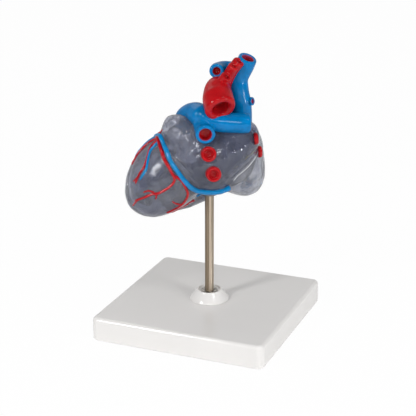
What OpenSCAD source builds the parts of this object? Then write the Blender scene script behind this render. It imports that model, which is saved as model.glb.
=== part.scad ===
// Two-part human heart model in smoky clear plastic, on a metal post and a square base.
// Millimetres. The origin is the centre of the base plate's underside, +Z is up.

/* [Base plate] */
// Side of the square base plate
base_w = 120; // [110:1:150]
// Height of the base plate
base_h = 15.8; // [14:0.1:24]
// Radius of its upright corners
base_corner_r = 5; // [4:0.5:10]
// Rounding of its top edge
base_edge_r = 2.5; // [1:0.1:3]
// Wall and deck thickness of the hollow plate
base_wall = 3; // [2:0.1:4]
// Thickness of the ribs underneath
rib_t = 2; // [1.2:0.1:3]
// Height of the ribs below the deck
rib_h = 8; // [4:0.5:9]
// Diameter of the boss that holds the collar
boss_d = 22; // [18:0.5:30]
// Length of that boss below the deck
boss_len = 6; // [4:0.5:7]

/* [Collar and post] */
// Diameter of the collar where it meets the base
collar_d = 27; // [25:0.5:34]
// Diameter of the collar's top rim
collar_rim_d = 20; // [18:0.5:23]
// Height of the collar above the base
collar_h = 7; // [5:0.5:10]
// Diameter of the dish in the collar's top
dish_d = 15; // [14:0.5:16.5]
// Depth of that dish
dish_depth = 1.6; // [1.2:0.1:2.4]
// Diameter of the collar's spigot through the base
spigot_d = 12; // [10:0.5:15]
// Diameter of the metal post
post_d = 6; // [5:0.1:7]
// Length of post below the lower washer
post_tail = 1.5; // [1:0.1:3]
// Diameter of the toothed push-on washers
washer_d = 11; // [10:0.1:13]
// Thickness of those washers
washer_t = 0.6; // [0.4:0.05:1]
// Number of teeth in each washer
washer_teeth = 8; // [5:1:12]

/* [Heart on the post] */
// Height of the heart's inner centre above the table
heart_h = 112; // [106:1:130]
// Turn of the heart about the post
heart_yaw = -30; // [-180:1:180]
// Outer diameter of the socket that takes the post
socket_d = 11; // [10:0.5:12]
// Depth of that socket
socket_depth = 15; // [10:0.5:16]
// Floor thickness above the post's end
socket_floor = 2; // [1.5:0.1:3]

/* [Heart chambers] */
// Half length of the left ventricle
left_ventricle_len = 37.5; // [35:0.5:38]
// Radius of the left ventricle
left_ventricle_r = 24; // [23.5:0.5:25]
// Half length of the right ventricle
right_ventricle_len = 42; // [41:0.5:43]
// Radius of the right ventricle
right_ventricle_r = 20; // [19.5:0.5:21]
// Half length of the left atrium
left_atrium_len = 33; // [32:0.5:35]
// Radius of the left atrium
left_atrium_r = 18.5; // [18:0.5:19.5]
// Half length of the right atrium
right_atrium_len = 29; // [28:0.5:30]
// Radius of the right atrium
right_atrium_r = 18; // [17.5:0.5:19]
// Half length of the left auricle
left_auricle_len = 26.5; // [25.5:0.5:27.5]
// Radius of the left auricle
left_auricle_r = 15.5; // [15:0.5:16.5]
// Half length of the right auricle
right_auricle_len = 22.5; // [22:0.5:23.5]
// Radius of the right auricle
right_auricle_r = 21; // [20.5:0.5:22]
// Half length of the swell under the coronary sinus
sinus_swell_len = 15; // [13:0.5:16]
// Radius of that swell
sinus_swell_r = 10; // [9:0.5:10.5]

/* [Shells and inner walls] */
// Wall thickness of both shells
shell_wall = 2.6; // [2.2:0.1:3]
// Half angle of the lift-off front wall, seen from the heart's inner centre
front_angle = 50; // [47:1:52]
// Gap of the seam between the shells
seam_gap = 0.3; // [0.2:0.05:0.5]
// Thickness of the wall between the ventricles
septum_t = 5; // [4:0.5:6]
// Bulge of that wall towards the right ventricle
septum_bulge = 3; // [1:0.5:4]
// Thickness of the wall between the atria
atrial_wall_t = 3; // [2:0.5:4]
// Thickness of the plate that carries the valves
valve_plate_t = 2.5; // [2:0.1:3.5]
// Distance of that plate from the heart's inner centre
valve_plate_at = 13; // [12.5:0.5:14]

/* [Valves] */
// Opening of the mitral valve
mitral_d = 17; // [15:0.5:18]
// Opening of the tricuspid valve
tricuspid_d = 17; // [15:0.5:18]
// Opening of the aortic valve
aortic_valve_d = 11; // [10:0.5:12]
// Opening of the pulmonary valve
pulmonary_valve_d = 11; // [10:0.5:12]
// Length of the mitral and tricuspid leaflets
leaflet_len = 8; // [6:0.5:10]
// Thickness of leaflets and cusps
leaflet_t = 0.8; // [0.6:0.1:1.2]

/* [Great vessels] */
// Diameter of the aorta
aorta_d = 20; // [18:0.5:21]
// Opening of the aorta
aorta_bore = 10.6; // [10:0.2:14]
// Diameter of the brachiocephalic trunk
brachiocephalic_d = 7.6; // [6:0.2:9]
// Diameter of the left common carotid artery
carotid_d = 6.8; // [5:0.2:8]
// Diameter of the left subclavian artery
subclavian_d = 7; // [5:0.2:8]
// Opening of the three arch branches
branch_bore = 3.2; // [2:0.2:4]
// Diameter of the pulmonary trunk
trunk_d = 15; // [14:0.5:16]
// Diameter of the left pulmonary artery
left_pulmonary_d = 12.6; // [11:0.2:14]
// Diameter of the right pulmonary artery
right_pulmonary_d = 13; // [11:0.2:13.6]
// Opening of the pulmonary arteries
pulmonary_bore = 8; // [6:0.2:9]
// Diameter of the superior vena cava
vena_cava_d = 11; // [10:0.5:12]
// Opening of the superior vena cava
vena_cava_bore = 8.4; // [7:0.2:9]
// Diameter of the left brachiocephalic vein
left_vein_d = 9.2; // [8:0.2:10]
// Opening of the left brachiocephalic vein
left_vein_bore = 5.2; // [4:0.2:6]
// Diameter of the azygos vein
azygos_d = 5.4; // [4:0.2:6]
// Opening of the azygos vein
azygos_bore = 3.2; // [2:0.2:3.6]
// Diameter of the inferior vena cava
inferior_cava_d = 12; // [10:0.5:13]
// Opening of the inferior vena cava
inferior_cava_bore = 8.4; // [7:0.2:9]
// Diameter of the left pulmonary veins
left_lung_vein_d = 9.8; // [8:0.2:10.4]
// Diameter of the right pulmonary veins
right_lung_vein_d = 8; // [8:0.2:10]
// Opening of the pulmonary veins
lung_vein_bore = 4.2; // [3:0.2:4.2]
// Length that the left pulmonary veins stand out of the atrium
left_lung_vein_len = 4; // [3:0.2:6]
// Length that the right pulmonary veins stand out of the atrium
right_lung_vein_len = 2.2; // [2:0.2:5]
// Depth of every vessel's blind opening
bore_depth = 6; // [4:0.5:7]

/* [Vessels of the heart wall] */
// Diameter of the main coronary arteries
coronary_d = 2.6; // [2:0.1:3]
// Diameter of the coronary branches
coronary_branch_d = 1.9; // [1.5:0.1:2.2]
// Diameter of the smallest twigs
twig_d = 1.4; // [1.1:0.1:1.6]
// Diameter of the great cardiac vein at its start; it widens into the coronary sinus
great_vein_d = 2.8; // [2.4:0.1:3.4]
// Diameter of the other cardiac veins
cardiac_vein_d = 2; // [1.6:0.1:2.6]
// Depth that these vessels are set into the wall
relief_sink = 0.7; // [0.5:0.1:1]

/* [Inner details] */
// Diameter of the conducting bundles
bundle_d = 1.6; // [1.2:0.1:2]
// Diameter of a papillary muscle at its root
papillary_d = 6; // [4:0.5:7]
// Diameter of the tendon cords
tendon_d = 0.9; // [0.7:0.1:1.2]
// Diameter of the locating pegs
peg_d = 3; // [2.4:0.1:3.6]
// Diameter of the bosses that take the pegs
peg_boss_d = 7; // [6.5:0.5:8]
// Length of those bosses
peg_boss_len = 7; // [5:0.5:9]

/* [Hidden] */

$fn = 48;
eps = 0.01;
run_fit = 0.08;      // radial clearance of the turning post
peg_fit = 0.08;      // radial clearance of the pegs in their bosses
seat_gap = 0.3;      // gap between seated pieces of one body
front_gap = 1;       // gap between the front wall and what stays behind it
seam_margin = 5;     // angle behind the seam from which inner walls are bonded to the rear shell
bite = 0.6;          // depth that moulded-on pieces go into their carrier
post_r = post_d / 2;
post_at = [2, 9];    // the post's axis, from the heart's inner centre

white = [0.93, 0.93, 0.92];
steel = [0.72, 0.69, 0.65];
dark_steel = [0.25, 0.24, 0.24];
smoke = [0.45, 0.46, 0.50, 0.55];
artery_red = [0.78, 0.09, 0.12];
vein_blue = [0.0, 0.50, 0.78];
flesh = [0.80, 0.62, 0.56];
valve_cream = [0.90, 0.86, 0.76];
nerve_yellow = [0.80, 0.76, 0.25];

// ---------- vectors, curves and skins ----------

function unit(v) = v / norm(v);
function across(v, axis) = v - (v * axis) * axis;
function from_angles(a) = [cos(a[1]) * cos(a[0]), cos(a[1]) * sin(a[0]), sin(a[1])];
function xyz(p) = [p[0], p[1], p[2]];
function mix(a, b, t) = a + (b - a) * t;

function curve_point(a, b, c, d, t) =
    0.5 * (2 * b + (c - a) * t + (2 * a - 5 * b + 4 * c - d) * t * t + (3 * b - a - 3 * c + d) * t * t * t);

// A smooth curve through the points of p, with the given steps between two points
function curve(p, steps) = let (last = len(p) - 1) concat(
    [for (i = [0 : last - 1], j = [0 : steps - 1])
        curve_point(p[max(i - 1, 0)], p[i], p[i + 1], p[min(i + 2, last)], j / steps)],
    [p[last]]);

function heading(p, i) = unit(xyz(p[min(i + 1, len(p) - 1)]) - xyz(p[max(i - 1, 0)]));

function ring(centre, axis, side, r, sides) =
    let (u = unit(across(side, axis)), v = cross(axis, u))
    [for (k = [0 : sides - 1]) centre + r * (cos(360 * k / sides) * u + sin(360 * k / sides) * v)];

// Closed skin over a row of rings that all have the same number of points
module skin(rings) {
    n = len(rings[0]);
    last = len(rings) - 1;
    walls = [for (i = [0 : last - 1], k = [0 : n - 1]) let (a = i * n + k, b = i * n + (k + 1) % n)
        each [[a, a + n, b], [b, a + n, b + n]]];
    caps = [[for (k = [0 : n - 1]) k], [for (k = [n - 1 : -1 : 0]) last * n + k]];
    polyhedron([for (r = rings) each r], concat(walls, caps));
}

// Vessel along a path of [x, y, z] points, with a rounded lip and a blind bore at its far end,
// or a domed end where it has no bore
module vessel(path, d, bore, sides = 12, steps = 3, side = [0, 0, 1], start_d = 0) {
    p = curve(path, steps);
    last = len(p) - 1;
    r0 = (start_d > 0 ? start_d : d) / 2;
    lip = 0.12 * (d - bore);
    out = heading(p, last);
    depth = min(bore_depth, 0.6 * norm(p[last] - path[len(path) - 2]));
    open_end = [ring(p[last] - lip * out, out, side, d / 2, sides),
         ring(p[last], out, side, d / 2 - lip, sides),
         ring(p[last], out, side, bore / 2, sides),
         ring(p[last] - depth * out, out, side, bore / 2, sides)];
    domed_end = [for (a = [0 : 25 : 75]) ring(p[last] + 0.4 * d * sin(a) * out, out, side, d / 2 * cos(a), sides)];
    skin(concat(
        [for (i = [0 : last - 1]) ring(p[i], heading(p, i), side, mix(r0, d / 2, i / last), sides)],
        bore > 0 ? open_end : domed_end));
}

module rod(a, b, r1, r2) {
    dir = unit(b - a);
    side = abs(dir[2]) < 0.9 ? [0, 0, 1] : [1, 0, 0];
    u = unit(across(side, dir));
    v = cross(dir, u);
    multmatrix([[u[0], v[0], dir[0], a[0]], [u[1], v[1], dir[1], a[1]], [u[2], v[2], dir[2], a[2]]])
        cylinder(h = norm(b - a), r1 = r1, r2 = r2, $fn = 24);
}

// Moves a shape drawn at the origin to a place, with its X and Z along the given directions
module place(at, x, z) {
    y = cross(z, x);
    multmatrix([[x[0], y[0], z[0], at[0]], [x[1], y[1], z[1], at[1]], [x[2], y[2], z[2], at[2]]])
        children();
}

// ---------- the heart's outer form ----------

// Each chamber is an egg: centre from the heart's inner centre, long axis, half length, radius
LOBES = [
    [[18.9, -10, -5.5], [0.683, -0.233, -0.693], left_ventricle_len, left_ventricle_r],
    [[-5.5, -8, -9], [0.6, -0.52, -0.6], right_ventricle_len, right_ventricle_r],
    [[0, 12, 6], [-0.77, 0.35, 0.53], left_atrium_len, left_atrium_r],
    [[-17, 7, -1.5], [-0.53, 0.32, -0.78], right_atrium_len, right_atrium_r],
    [[11.3, 1.9, 9.9], [0.51, -0.24, 0.83], left_auricle_len, left_auricle_r],
    [[-21, 0.5, 2], [-0.8, -0.49, 0.35], right_auricle_len, right_auricle_r],
    [[1.5, 9.5, -9.5], [-0.79, 0.61, 0], sinus_swell_len, sinus_swell_r]
];
crease = 10;         // a higher power makes the grooves between the chambers sharper

function squeeze(v, axis, len, r) = across(v, axis) / r + (v * axis) * axis / len;

// How far an egg reaches from the inner centre in direction w
function egg_reach(w, egg) =
    let (axis = unit(egg[1]), p = squeeze(w, axis, egg[2], egg[3]), q = squeeze(egg[0], axis, egg[2], egg[3]),
        a = p * p, b = p * q, disc = b * b - a * (q * q - 1))
    disc > 0 ? max((b + sqrt(disc)) / a, 0.001) : 0.001;

function heart_r(w) = pow([for (egg = LOBES) pow(egg_reach(w, egg), crease)] * [1, 1, 1, 1, 1, 1, 1], 1 / crease);

// Point over the outer surface, in direction w
function on_heart(w, lift = 0) = w * (heart_r(w) + lift);

// Distance from p along dir to a surface that lies inset below the outer one
function reach(p, dir, inset, lo = 0, hi = 90, n = 22) =
    n == 0 ? lo :
    let (mid = (lo + hi) / 2, q = p + mid * dir)
    norm(q) < heart_r(unit(q)) - inset ? reach(p, dir, inset, mid, hi, n - 1) : reach(p, dir, inset, lo, mid, n - 1);

front_pole = unit([0.25, -0.85, -0.46]);    // middle of the lift-off front wall
front_top = unit(across([0, 0, 1], front_pole));
front_side = cross(front_pole, front_top);
pull = unit([0.1, -0.99, 0.05]);            // the way the front wall comes off
around = 48;                                // points round each ring of the shells

function seam_tilt(p) = acos(unit(p) * front_pole);

function shell_way(tilt, turn) =
    cos(tilt) * front_pole + sin(tilt) * (cos(turn) * front_top + sin(turn) * front_side);

// Cap between the pole and the seam: outer rings inwards, then inner rings back out
module cap_shell(from_tilt, to_tilt, rings, seam_side) {
    pole = to_tilt < from_tilt ? 0 : 180;
    function tilt(i, turn) =
        let (share = i / rings, seam_shift = seam_side * asin(seam_gap / 2 / heart_r(shell_way(front_angle, turn))))
        mix(front_angle + seam_shift, pole, share);
    function layer(i, inset) = [for (k = [0 : around - 1])
        let (w = shell_way(tilt(i, 360 * k / around), 360 * k / around)) on_heart(w, -inset)];
    flip = pole == 180;
    outer = [for (i = [rings - 1 : -1 : 0]) each layer(i, 0)];
    inner = [for (i = [0 : rings - 1]) each layer(i, shell_wall)];
    tip = shell_way(pole, 0);
    points = concat(outer, inner, [on_heart(tip), on_heart(tip, -shell_wall)]);
    rows = 2 * rings;
    outer_tip = rows * around;
    walls = [for (i = [0 : rows - 2], k = [0 : around - 1])
        let (a = i * around + k, b = i * around + (k + 1) % around)
        each [[a, a + around, b], [b, a + around, b + around]]];
    tips = [for (k = [0 : around - 1]) let (n = (k + 1) % around, end = (rows - 1) * around)
        each [[outer_tip, k, n], [outer_tip + 1, end + n, end + k]]];
    faces = concat(walls, tips);
    polyhedron(points, flip ? faces : [for (f = faces) [f[2], f[1], f[0]]]);
}

// Everything of the heart is drawn about its inner centre and carried to its place on the post
module in_heart() {
    rotate([0, 0, heart_yaw])
        translate([-post_at[0], -post_at[1], heart_h])
            children();
}

// ---------- stand ----------

deck_z = base_h - base_wall;
boss_z = deck_z - boss_len;
dish_z = base_h + collar_h - dish_depth;
socket_z = reach([post_at[0], post_at[1], 0], [0, 0, -1], 0);    // depth of the heart's underside at the post
post_foot_z = boss_z - seat_gap - washer_t - post_tail;
post_top_z = heart_h - socket_z + socket_depth - seat_gap;

module rounded_square(w, r, h) {
    hull()
        for (x = [-1, 1], y = [-1, 1])
            translate([x * (w / 2 - r), y * (w / 2 - r), 0])
                cylinder(h = h, r = r, $fn = 32);
}

module base_plate() {
    corner = base_w / 2 - base_corner_r;
    inner_w = base_w - 2 * base_wall;
    inner_r = base_corner_r - base_wall / 2;
    color(white)
    difference() {
        union() {
            difference() {
                hull()
                    for (x = [-1, 1], y = [-1, 1])
                        translate([x * corner, y * corner, 0])
                            rotate_extrude($fn = 32)
                                intersection() {
                                    square([base_corner_r, base_h]);
                                    union() {
                                        square([base_corner_r, base_h - base_edge_r]);
                                        square([base_corner_r - base_edge_r, base_h]);
                                        translate([base_corner_r - base_edge_r, base_h - base_edge_r])
                                            circle(r = base_edge_r, $fn = 32);
                                    }
                                }
                translate([0, 0, -eps])
                    rounded_square(inner_w, inner_r, deck_z + eps);
            }
            for (turn = [45, 135])
                rotate([0, 0, turn])
                    translate([-inner_w * 0.66, -rib_t / 2, deck_z - rib_h])
                        cube([inner_w * 1.32, rib_t, rib_h + eps]);
            for (turn = [0, 90])
                rotate([0, 0, turn])
                    translate([-inner_w / 2 - eps, -rib_t / 2, deck_z - rib_h])
                        cube([inner_w + 2 * eps, rib_t, rib_h + eps]);
            translate([0, 0, boss_z])
                cylinder(h = boss_len + eps, d = boss_d);
        }
        translate([0, 0, -eps])
            cylinder(h = boss_z + 2 * eps, d = boss_d + eps);
        translate([0, 0, boss_z - eps])
            cylinder(h = base_h, d = spigot_d + 2 * run_fit);
    }
}

module post_collar() {
    rim_r = collar_rim_d / 2;
    foot_r = collar_d / 2;
    dish_r = dish_d / 2;
    dome = [for (a = [0 : 10 : 90]) [rim_r + (foot_r - rim_r) * cos(a), 0.8 + (collar_h - 1.4) * sin(a)]];
    color(white)
    rotate_extrude()
        polygon(concat(
            [[post_r + run_fit, boss_z], [spigot_d / 2, boss_z], [spigot_d / 2, base_h],
             [foot_r, base_h]],
            [for (p = dome) [p[0], base_h + p[1]]],
            [[rim_r - 0.4, base_h + collar_h], [dish_r, base_h + collar_h],
             [dish_r - 0.8, dish_z], [post_r + run_fit, dish_z]]));
}

module post() {
    chamfer = 0.6;
    color(steel)
    rotate_extrude()
        polygon([[0, post_foot_z], [post_r - chamfer, post_foot_z], [post_r, post_foot_z + chamfer],
            [post_r, post_top_z - chamfer], [post_r - chamfer, post_top_z], [0, post_top_z]]);
}

// Push-on washer: a flat ring whose inner teeth bite on the post
module star_washer(z) {
    tooth_w = 0.62 * PI * post_d / washer_teeth;
    tooth_root = mix(post_r, washer_d / 2, 0.45);
    color(dark_steel)
    translate([0, 0, z])
        difference() {
            cylinder(h = washer_t, d = washer_d);
            translate([0, 0, -eps])
                difference() {
                    cylinder(h = washer_t + 2 * eps, r = tooth_root);
                    for (i = [0 : washer_teeth - 1])
                        rotate([0, 0, 360 * i / washer_teeth])
                            translate([0, -tooth_w / 2, -eps])
                                cube([washer_d, tooth_w, washer_t + 4 * eps]);
                }
            translate([0, 0, -2 * eps])
                cylinder(h = washer_t + 4 * eps, r = post_r - 0.05);
        }
}

module upper_star_washer() {
    star_washer(dish_z + seat_gap);
}

module lower_star_washer() {
    star_washer(boss_z - seat_gap - washer_t);
}

// ---------- shells ----------

module socket_hole(d, extra) {
    translate([post_at[0], post_at[1], -socket_z - extra])
        cylinder(h = socket_depth + socket_floor + extra + seat_gap, d = d);
}

module rear_heart_shell() {
    color(smoke)
    in_heart()
        difference() {
            cap_shell(front_angle, 180, 18, 1);
            socket_hole(socket_d - 2 * bite, 5);
        }
}

module front_heart_wall() {
    color(smoke)
    in_heart()
        cap_shell(front_angle, 0, 8, -1);
}

module post_socket() {
    color(smoke)
    in_heart()
        translate([post_at[0], post_at[1], -socket_z - bite])
            difference() {
                cylinder(h = socket_depth + socket_floor + bite, d = socket_d);
                translate([0, 0, -eps])
                    cylinder(h = socket_depth + bite + eps, r = post_r + run_fit);
            }
}

// ---------- inner walls and the valve plate ----------

long_axis = unit([0.68, -0.28, -0.68]);             // from the base of the heart to its apex
leftward = unit(across([0.73, 0.25, 0.64], long_axis));
frontward = cross(long_axis, leftward);
mitral_at = [13, -1];
tricuspid_at = [-15.7, 0];
aortic_at = [8, 16];
pulmonary_at = [-13.2, 15.8];
septum_at = -3.5;                                   // where the ventricles' wall crosses the plate
plate_front = valve_plate_at + valve_plate_t / 2;
plate_back = valve_plate_at - valve_plate_t / 2;

// Point from its distances leftward, frontward and along the heart's long axis
function in_plate(left, front, along) = left * leftward + front * frontward + along * long_axis;

// How far an inner wall may go from p: into the rear shell, but not as far as the front wall
function room(p, dir) = let (near = reach(p, dir, shell_wall + front_gap))
    seam_tilt(p + near * dir) > front_angle + seam_margin ? reach(p, dir, shell_wall - bite) : near;

module valve_plate() {
    centre = in_plate(0, 0, valve_plate_at);
    outline = [for (a = [0 : 6 : 354]) let (dir = cos(a) * leftward + sin(a) * frontward,
        near = min(room(in_plate(0, 0, plate_back), dir), room(in_plate(0, 0, plate_front), dir)))
        near * [cos(a), sin(a)]];
    color(flesh)
    in_heart()
        difference() {
            place(in_plate(0, 0, plate_back), leftward, long_axis)
                difference() {
                    linear_extrude(valve_plate_t)
                        polygon(outline);
                    for (hole = [[mitral_at, mitral_d], [tricuspid_at, tricuspid_d],
                            [aortic_at, aortic_valve_d], [pulmonary_at, pulmonary_valve_d]])
                        translate([hole[0][0], hole[0][1], -eps])
                            cylinder(h = valve_plate_t + 2 * eps, d = hole[1]);
                }
            socket_hole(socket_d + 2 * seat_gap, 5);
            for (turn = peg_turns)
                rod(boss_centre(turn) - peg_boss_len * pull, peg_end(turn) + 2 * pull,
                    peg_boss_d / 2 + seat_gap, peg_boss_d / 2 + seat_gap);
        }
}

// Curved wall between the ventricles, from the valve plate to the apex
module ventricular_septum() {
    rows = 12;
    columns = 5;
    root = in_plate(septum_at, 0, plate_front + seat_gap);
    sides = [-septum_t / 2 - 0.3 * septum_bulge, -septum_t / 2, septum_t / 2];
    low = -0.55 * min([for (s = sides) room(root + s * leftward, -frontward)]);
    high = 0.9 * min([for (s = sides) room(root + s * leftward, frontward)]);
    function depth(front) = 0.93 * min([for (s = sides) room(root + front * frontward + s * leftward, long_axis)]);
    function bulge(i, j) = -septum_bulge * sin(180 * i / rows) * sin(180 * j / columns);
    function wall(i, j, s) = let (front = mix(low, high, i / rows))
        root + front * frontward + j / columns * depth(front) * long_axis
            + (bulge(i, j) + s * septum_t / 2) * leftward;
    // one closed loop of points round each row, over the left face and back over the right one
    color(flesh)
    in_heart()
        skin([for (i = [0 : rows])
            concat([for (j = [0 : columns]) wall(i, j, -1)], [for (j = [columns : -1 : 0]) wall(i, j, 1)])]);
}

// Flat wall between the atria, behind the valve plate
module atrial_septum() {
    normal = unit(0.87 * leftward - 0.48 * frontward);
    up = cross(normal, long_axis);
    root = (plate_back - seat_gap) * long_axis;
    function edge(turn) = min([for (s = [-1, 1])
        room(root + s * atrial_wall_t / 2 * normal, cos(turn) * up - sin(turn) * long_axis)]);
    outline = [for (a = [18 : 6 : 108]) edge(a) * [cos(a), sin(a)]];
    color(flesh)
    in_heart()
        difference() {
            place(root - atrial_wall_t / 2 * normal, up, normal)
                linear_extrude(atrial_wall_t)
                    polygon(concat([[0, 0]], outline));
            socket_hole(socket_d + 2 * seat_gap, 5);
        }
}

// ---------- valves, muscles and bundles ----------

// Ring that lines a plate opening, with its flap shape as children
module valve_at(spot, d) {
    color(valve_cream)
    in_heart()
        place(in_plate(spot[0], spot[1], valve_plate_at), leftward, long_axis) {
            difference() {
                union() {
                    cylinder(h = valve_plate_t + 1.6, d = d - 2 * run_fit, center = true);
                    for (side = [-1, 1])
                        translate([0, 0, side * (valve_plate_t / 2 + 0.55)])
                            cylinder(h = 0.7, d = d + 1.4, center = true);
                }
                cylinder(h = valve_plate_t + 4, d = d - 2 * leaflet_t, center = true);
            }
            children();
        }
}

// Funnel of leaflets that hangs into a ventricle
module leaflets(d, count) {
    sides = 24;
    steps = 3;
    top = valve_plate_t / 2;
    function reach_down(a) = leaflet_len * (0.45 + 0.55 * abs(sin(count * a / 2)));
    function level(j, inner) = [for (k = [0 : sides - 1]) let (a = 360 * k / sides, s = j / steps,
        r = mix(d / 2 - leaflet_t / 2, 0.3 * d, s * s) - inner * leaflet_t)
        [r * cos(a), r * sin(a), top + s * reach_down(a)]];
    rings = concat([for (j = [0 : steps]) level(j, 0)], [for (j = [steps : -1 : 0]) level(j, 1)]);
    closed_band(rings, sides);
}

// Tube wall whose first and last rings are joined to each other
module closed_band(rings, sides) {
    n = len(rings);
    polyhedron([for (r = rings) each r],
        [for (i = [0 : n - 1], k = [0 : sides - 1])
            let (a = i * sides + k, b = i * sides + (k + 1) % sides,
                c = ((i + 1) % n) * sides + k, e = ((i + 1) % n) * sides + (k + 1) % sides)
            each [[a, c, b], [b, c, e]]]);
}

// Three pockets that meet in the middle of an outflow opening
module cusps(d) {
    sides = 24;
    steps = 3;
    r_out = d / 2 - leaflet_t / 2;
    function sag(a, s) = -2.2 * sin(180 * s) * abs(sin(1.5 * a)) - 0.8 * s;
    function level(j, z) = [for (k = [0 : sides - 1]) let (a = 360 * k / sides, s = j / steps, r = mix(r_out, 0.6, s))
        [r * cos(a), r * sin(a), sag(a, s) + z]];
    skin(concat([[for (k = [0 : sides - 1]) 0.3 * [cos(360 * k / sides), sin(360 * k / sides), -4]]],
        [for (j = [steps : -1 : 0]) level(j, -leaflet_t)], [for (j = [0 : steps]) level(j, 0)]));
}

module mitral_valve() {
    valve_at(mitral_at, mitral_d)
        leaflets(mitral_d, 2);
}

module tricuspid_valve() {
    valve_at(tricuspid_at, tricuspid_d)
        leaflets(tricuspid_d, 3);
}

module aortic_valve() {
    valve_at(aortic_at, aortic_valve_d)
        cusps(aortic_valve_d);
}

module pulmonary_valve() {
    valve_at(pulmonary_at, pulmonary_valve_d)
        cusps(pulmonary_valve_d);
}

// Papillary muscles: root on the wall, tip below the leaflets; the cords run from each tip
septum_left_face = septum_at + septum_t / 2;
septum_right_face = septum_at - septum_t / 2;
left_muscles = [from_angles([14, -16]), from_angles([14, -34])];
right_muscle_roots = [in_plate(septum_right_face - 1, -5, plate_front + 15),
    in_plate(septum_right_face - 1, 5, plate_front + 17)];
left_tips = [in_plate(mitral_at[0] + 2, -8, plate_front + 15), in_plate(mitral_at[0] + 3, 4, plate_front + 16)];
right_tips = [in_plate(tricuspid_at[0] + 3, -4, plate_front + 11), in_plate(tricuspid_at[0] + 4, 4, plate_front + 12)];

module papillary_muscles() {
    color(flesh)
    in_heart() {
        for (i = [0, 1]) {
            rod(on_heart(left_muscles[i], -shell_wall - 0.4), left_tips[i], papillary_d / 2, papillary_d / 4);
            rod(right_muscle_roots[i], right_tips[i], papillary_d / 2, papillary_d / 4);
        }
    }
}

// Two cords from each muscle to the edge of the leaflets above it
module tendon_cords() {
    function leaflet_edge(spot, d, turn) =
        in_plate(spot[0] + 0.3 * d * cos(turn), spot[1] + 0.3 * d * sin(turn), plate_front + 0.75 * leaflet_len);
    color(valve_cream)
    in_heart()
        for (set = [[left_tips, mitral_at, mitral_d], [right_tips, tricuspid_at, tricuspid_d]], i = [0, 1], side = [-1, 1])
            let (tip = set[0][i], turn = (i == 0 ? -90 : 90) + 30 * side)
                rod(tip + 0.4 * side * leftward + 0.6 * long_axis, leaflet_edge(set[1], set[2], turn),
                    tendon_d / 2, tendon_d / 2);
}

// Bundle laid along a path, with rounded-off ends
module strand(p, d, sides, side) {
    last = len(p) - 1;
    skin([for (i = [0 : last])
        ring(p[i], heading(p, i), side == 0 ? unit(xyz(p[i])) : side, d / 2 * (i == 0 || i == last ? 0.5 : 1), sides)]);
}

inner_lift = -shell_wall - bundle_d / 2 + bite / 2;
sinus_node = [172, 42];                             // longitude and latitude on the heart
tract = [sinus_node, [160, 28], [137, 20], [112, 12], [94, 0]];

module conducting_system() {
    left_face = septum_left_face + bundle_d / 2 - bite / 2;
    right_face = septum_right_face - bundle_d / 2 + bite / 2;
    node_at = on_heart(from_angles(sinus_node), -shell_wall - 1);
    color(nerve_yellow)
    in_heart() {
        translate(node_at)
            sphere(d = 4, $fn = 24);
        strand([for (a = curve(tract, 3)) on_heart(from_angles(a), inner_lift)], bundle_d, 8, 0);
        for (face = [left_face, right_face])
            strand([for (s = [0 : 3]) in_plate(face, 4 - 2 * s, plate_front + 2 + 5 * s)], bundle_d, 8, frontward);
    }
}

// ---------- pegs that locate the front wall ----------

peg_turns = [135, 256];                             // places round the seam
function boss_centre(turn) = on_heart(shell_way(front_angle + 8, turn), -shell_wall - peg_boss_d / 2 + bite);
function peg_end(turn) = boss_centre(turn) + reach(boss_centre(turn), pull, shell_wall - bite) * pull;

module peg_bosses() {
    color(smoke)
    in_heart()
        for (turn = peg_turns)
            let (back = boss_centre(turn) - peg_boss_len / 2 * pull)
                difference() {
                    rod(back, back + peg_boss_len * pull, peg_boss_d / 2, peg_boss_d / 2);
                    rod(back + 1.5 * pull, back + (peg_boss_len + 1) * pull,
                        peg_d / 2 + peg_fit, peg_d / 2 + peg_fit);
                }
}

module locating_pegs() {
    color(smoke)
    in_heart()
        for (turn = peg_turns)
            rod(boss_centre(turn) + (2 - peg_boss_len / 2) * pull, peg_end(turn), peg_d / 2, peg_d / 2);
}

// ---------- great vessels, as points from the heart's inner centre ----------

function root_at(w) = on_heart(unit(w), -shell_wall);

aorta_path = [root_at([-6, -12, 26]), [-12.5, -5, 32], [-13, 0, 42], [-9, 8, 50], [-0.5, 14.5, 51.5],
    [3.2, 18.3, 47.6], [5.2, 22.3, 42.6], [7, 26.6, 41]];
pulmonary_fork = [10.5, 12, 34];
arch_back = [-1, 17, 53.5];
arch_middle = [-6, 14.5, 53.5];
arch_front = [-10.5, 11, 53];

module aorta() {
    color(artery_red)
    in_heart()
        vessel(aorta_path, aorta_d, aorta_bore, sides = 16, side = [0.6, -0.8, 0.3], start_d = 0.85 * aorta_d);
}

module brachiocephalic_trunk() {
    color(artery_red)
    in_heart()
        vessel([arch_front, [-12.5, 14, 60.5], [-14.1, 19.6, 68]], brachiocephalic_d, branch_bore, 10, side = [1, 0, 0]);
}

module left_common_carotid_artery() {
    color(artery_red)
    in_heart()
        vessel([arch_middle, [-7, 17.5, 60], [-8.2, 21.4, 66.2]], carotid_d, branch_bore, 10, side = [1, 0, 0]);
}

module left_subclavian_artery() {
    color(artery_red)
    in_heart()
        vessel([arch_back, [-1.2, 19.5, 57.5], [-1.9, 22.2, 60.5]], subclavian_d, branch_bore, 10, side = [1, 0, 0]);
}

module pulmonary_trunk() {
    color(vein_blue)
    in_heart()
        vessel([root_at([8, -12, 24]), [8.6, -5.3, 29.8], [8.9, 3.5, 33.6], pulmonary_fork], trunk_d, 0, 14, side = [1, 0, 0]);
}

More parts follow.
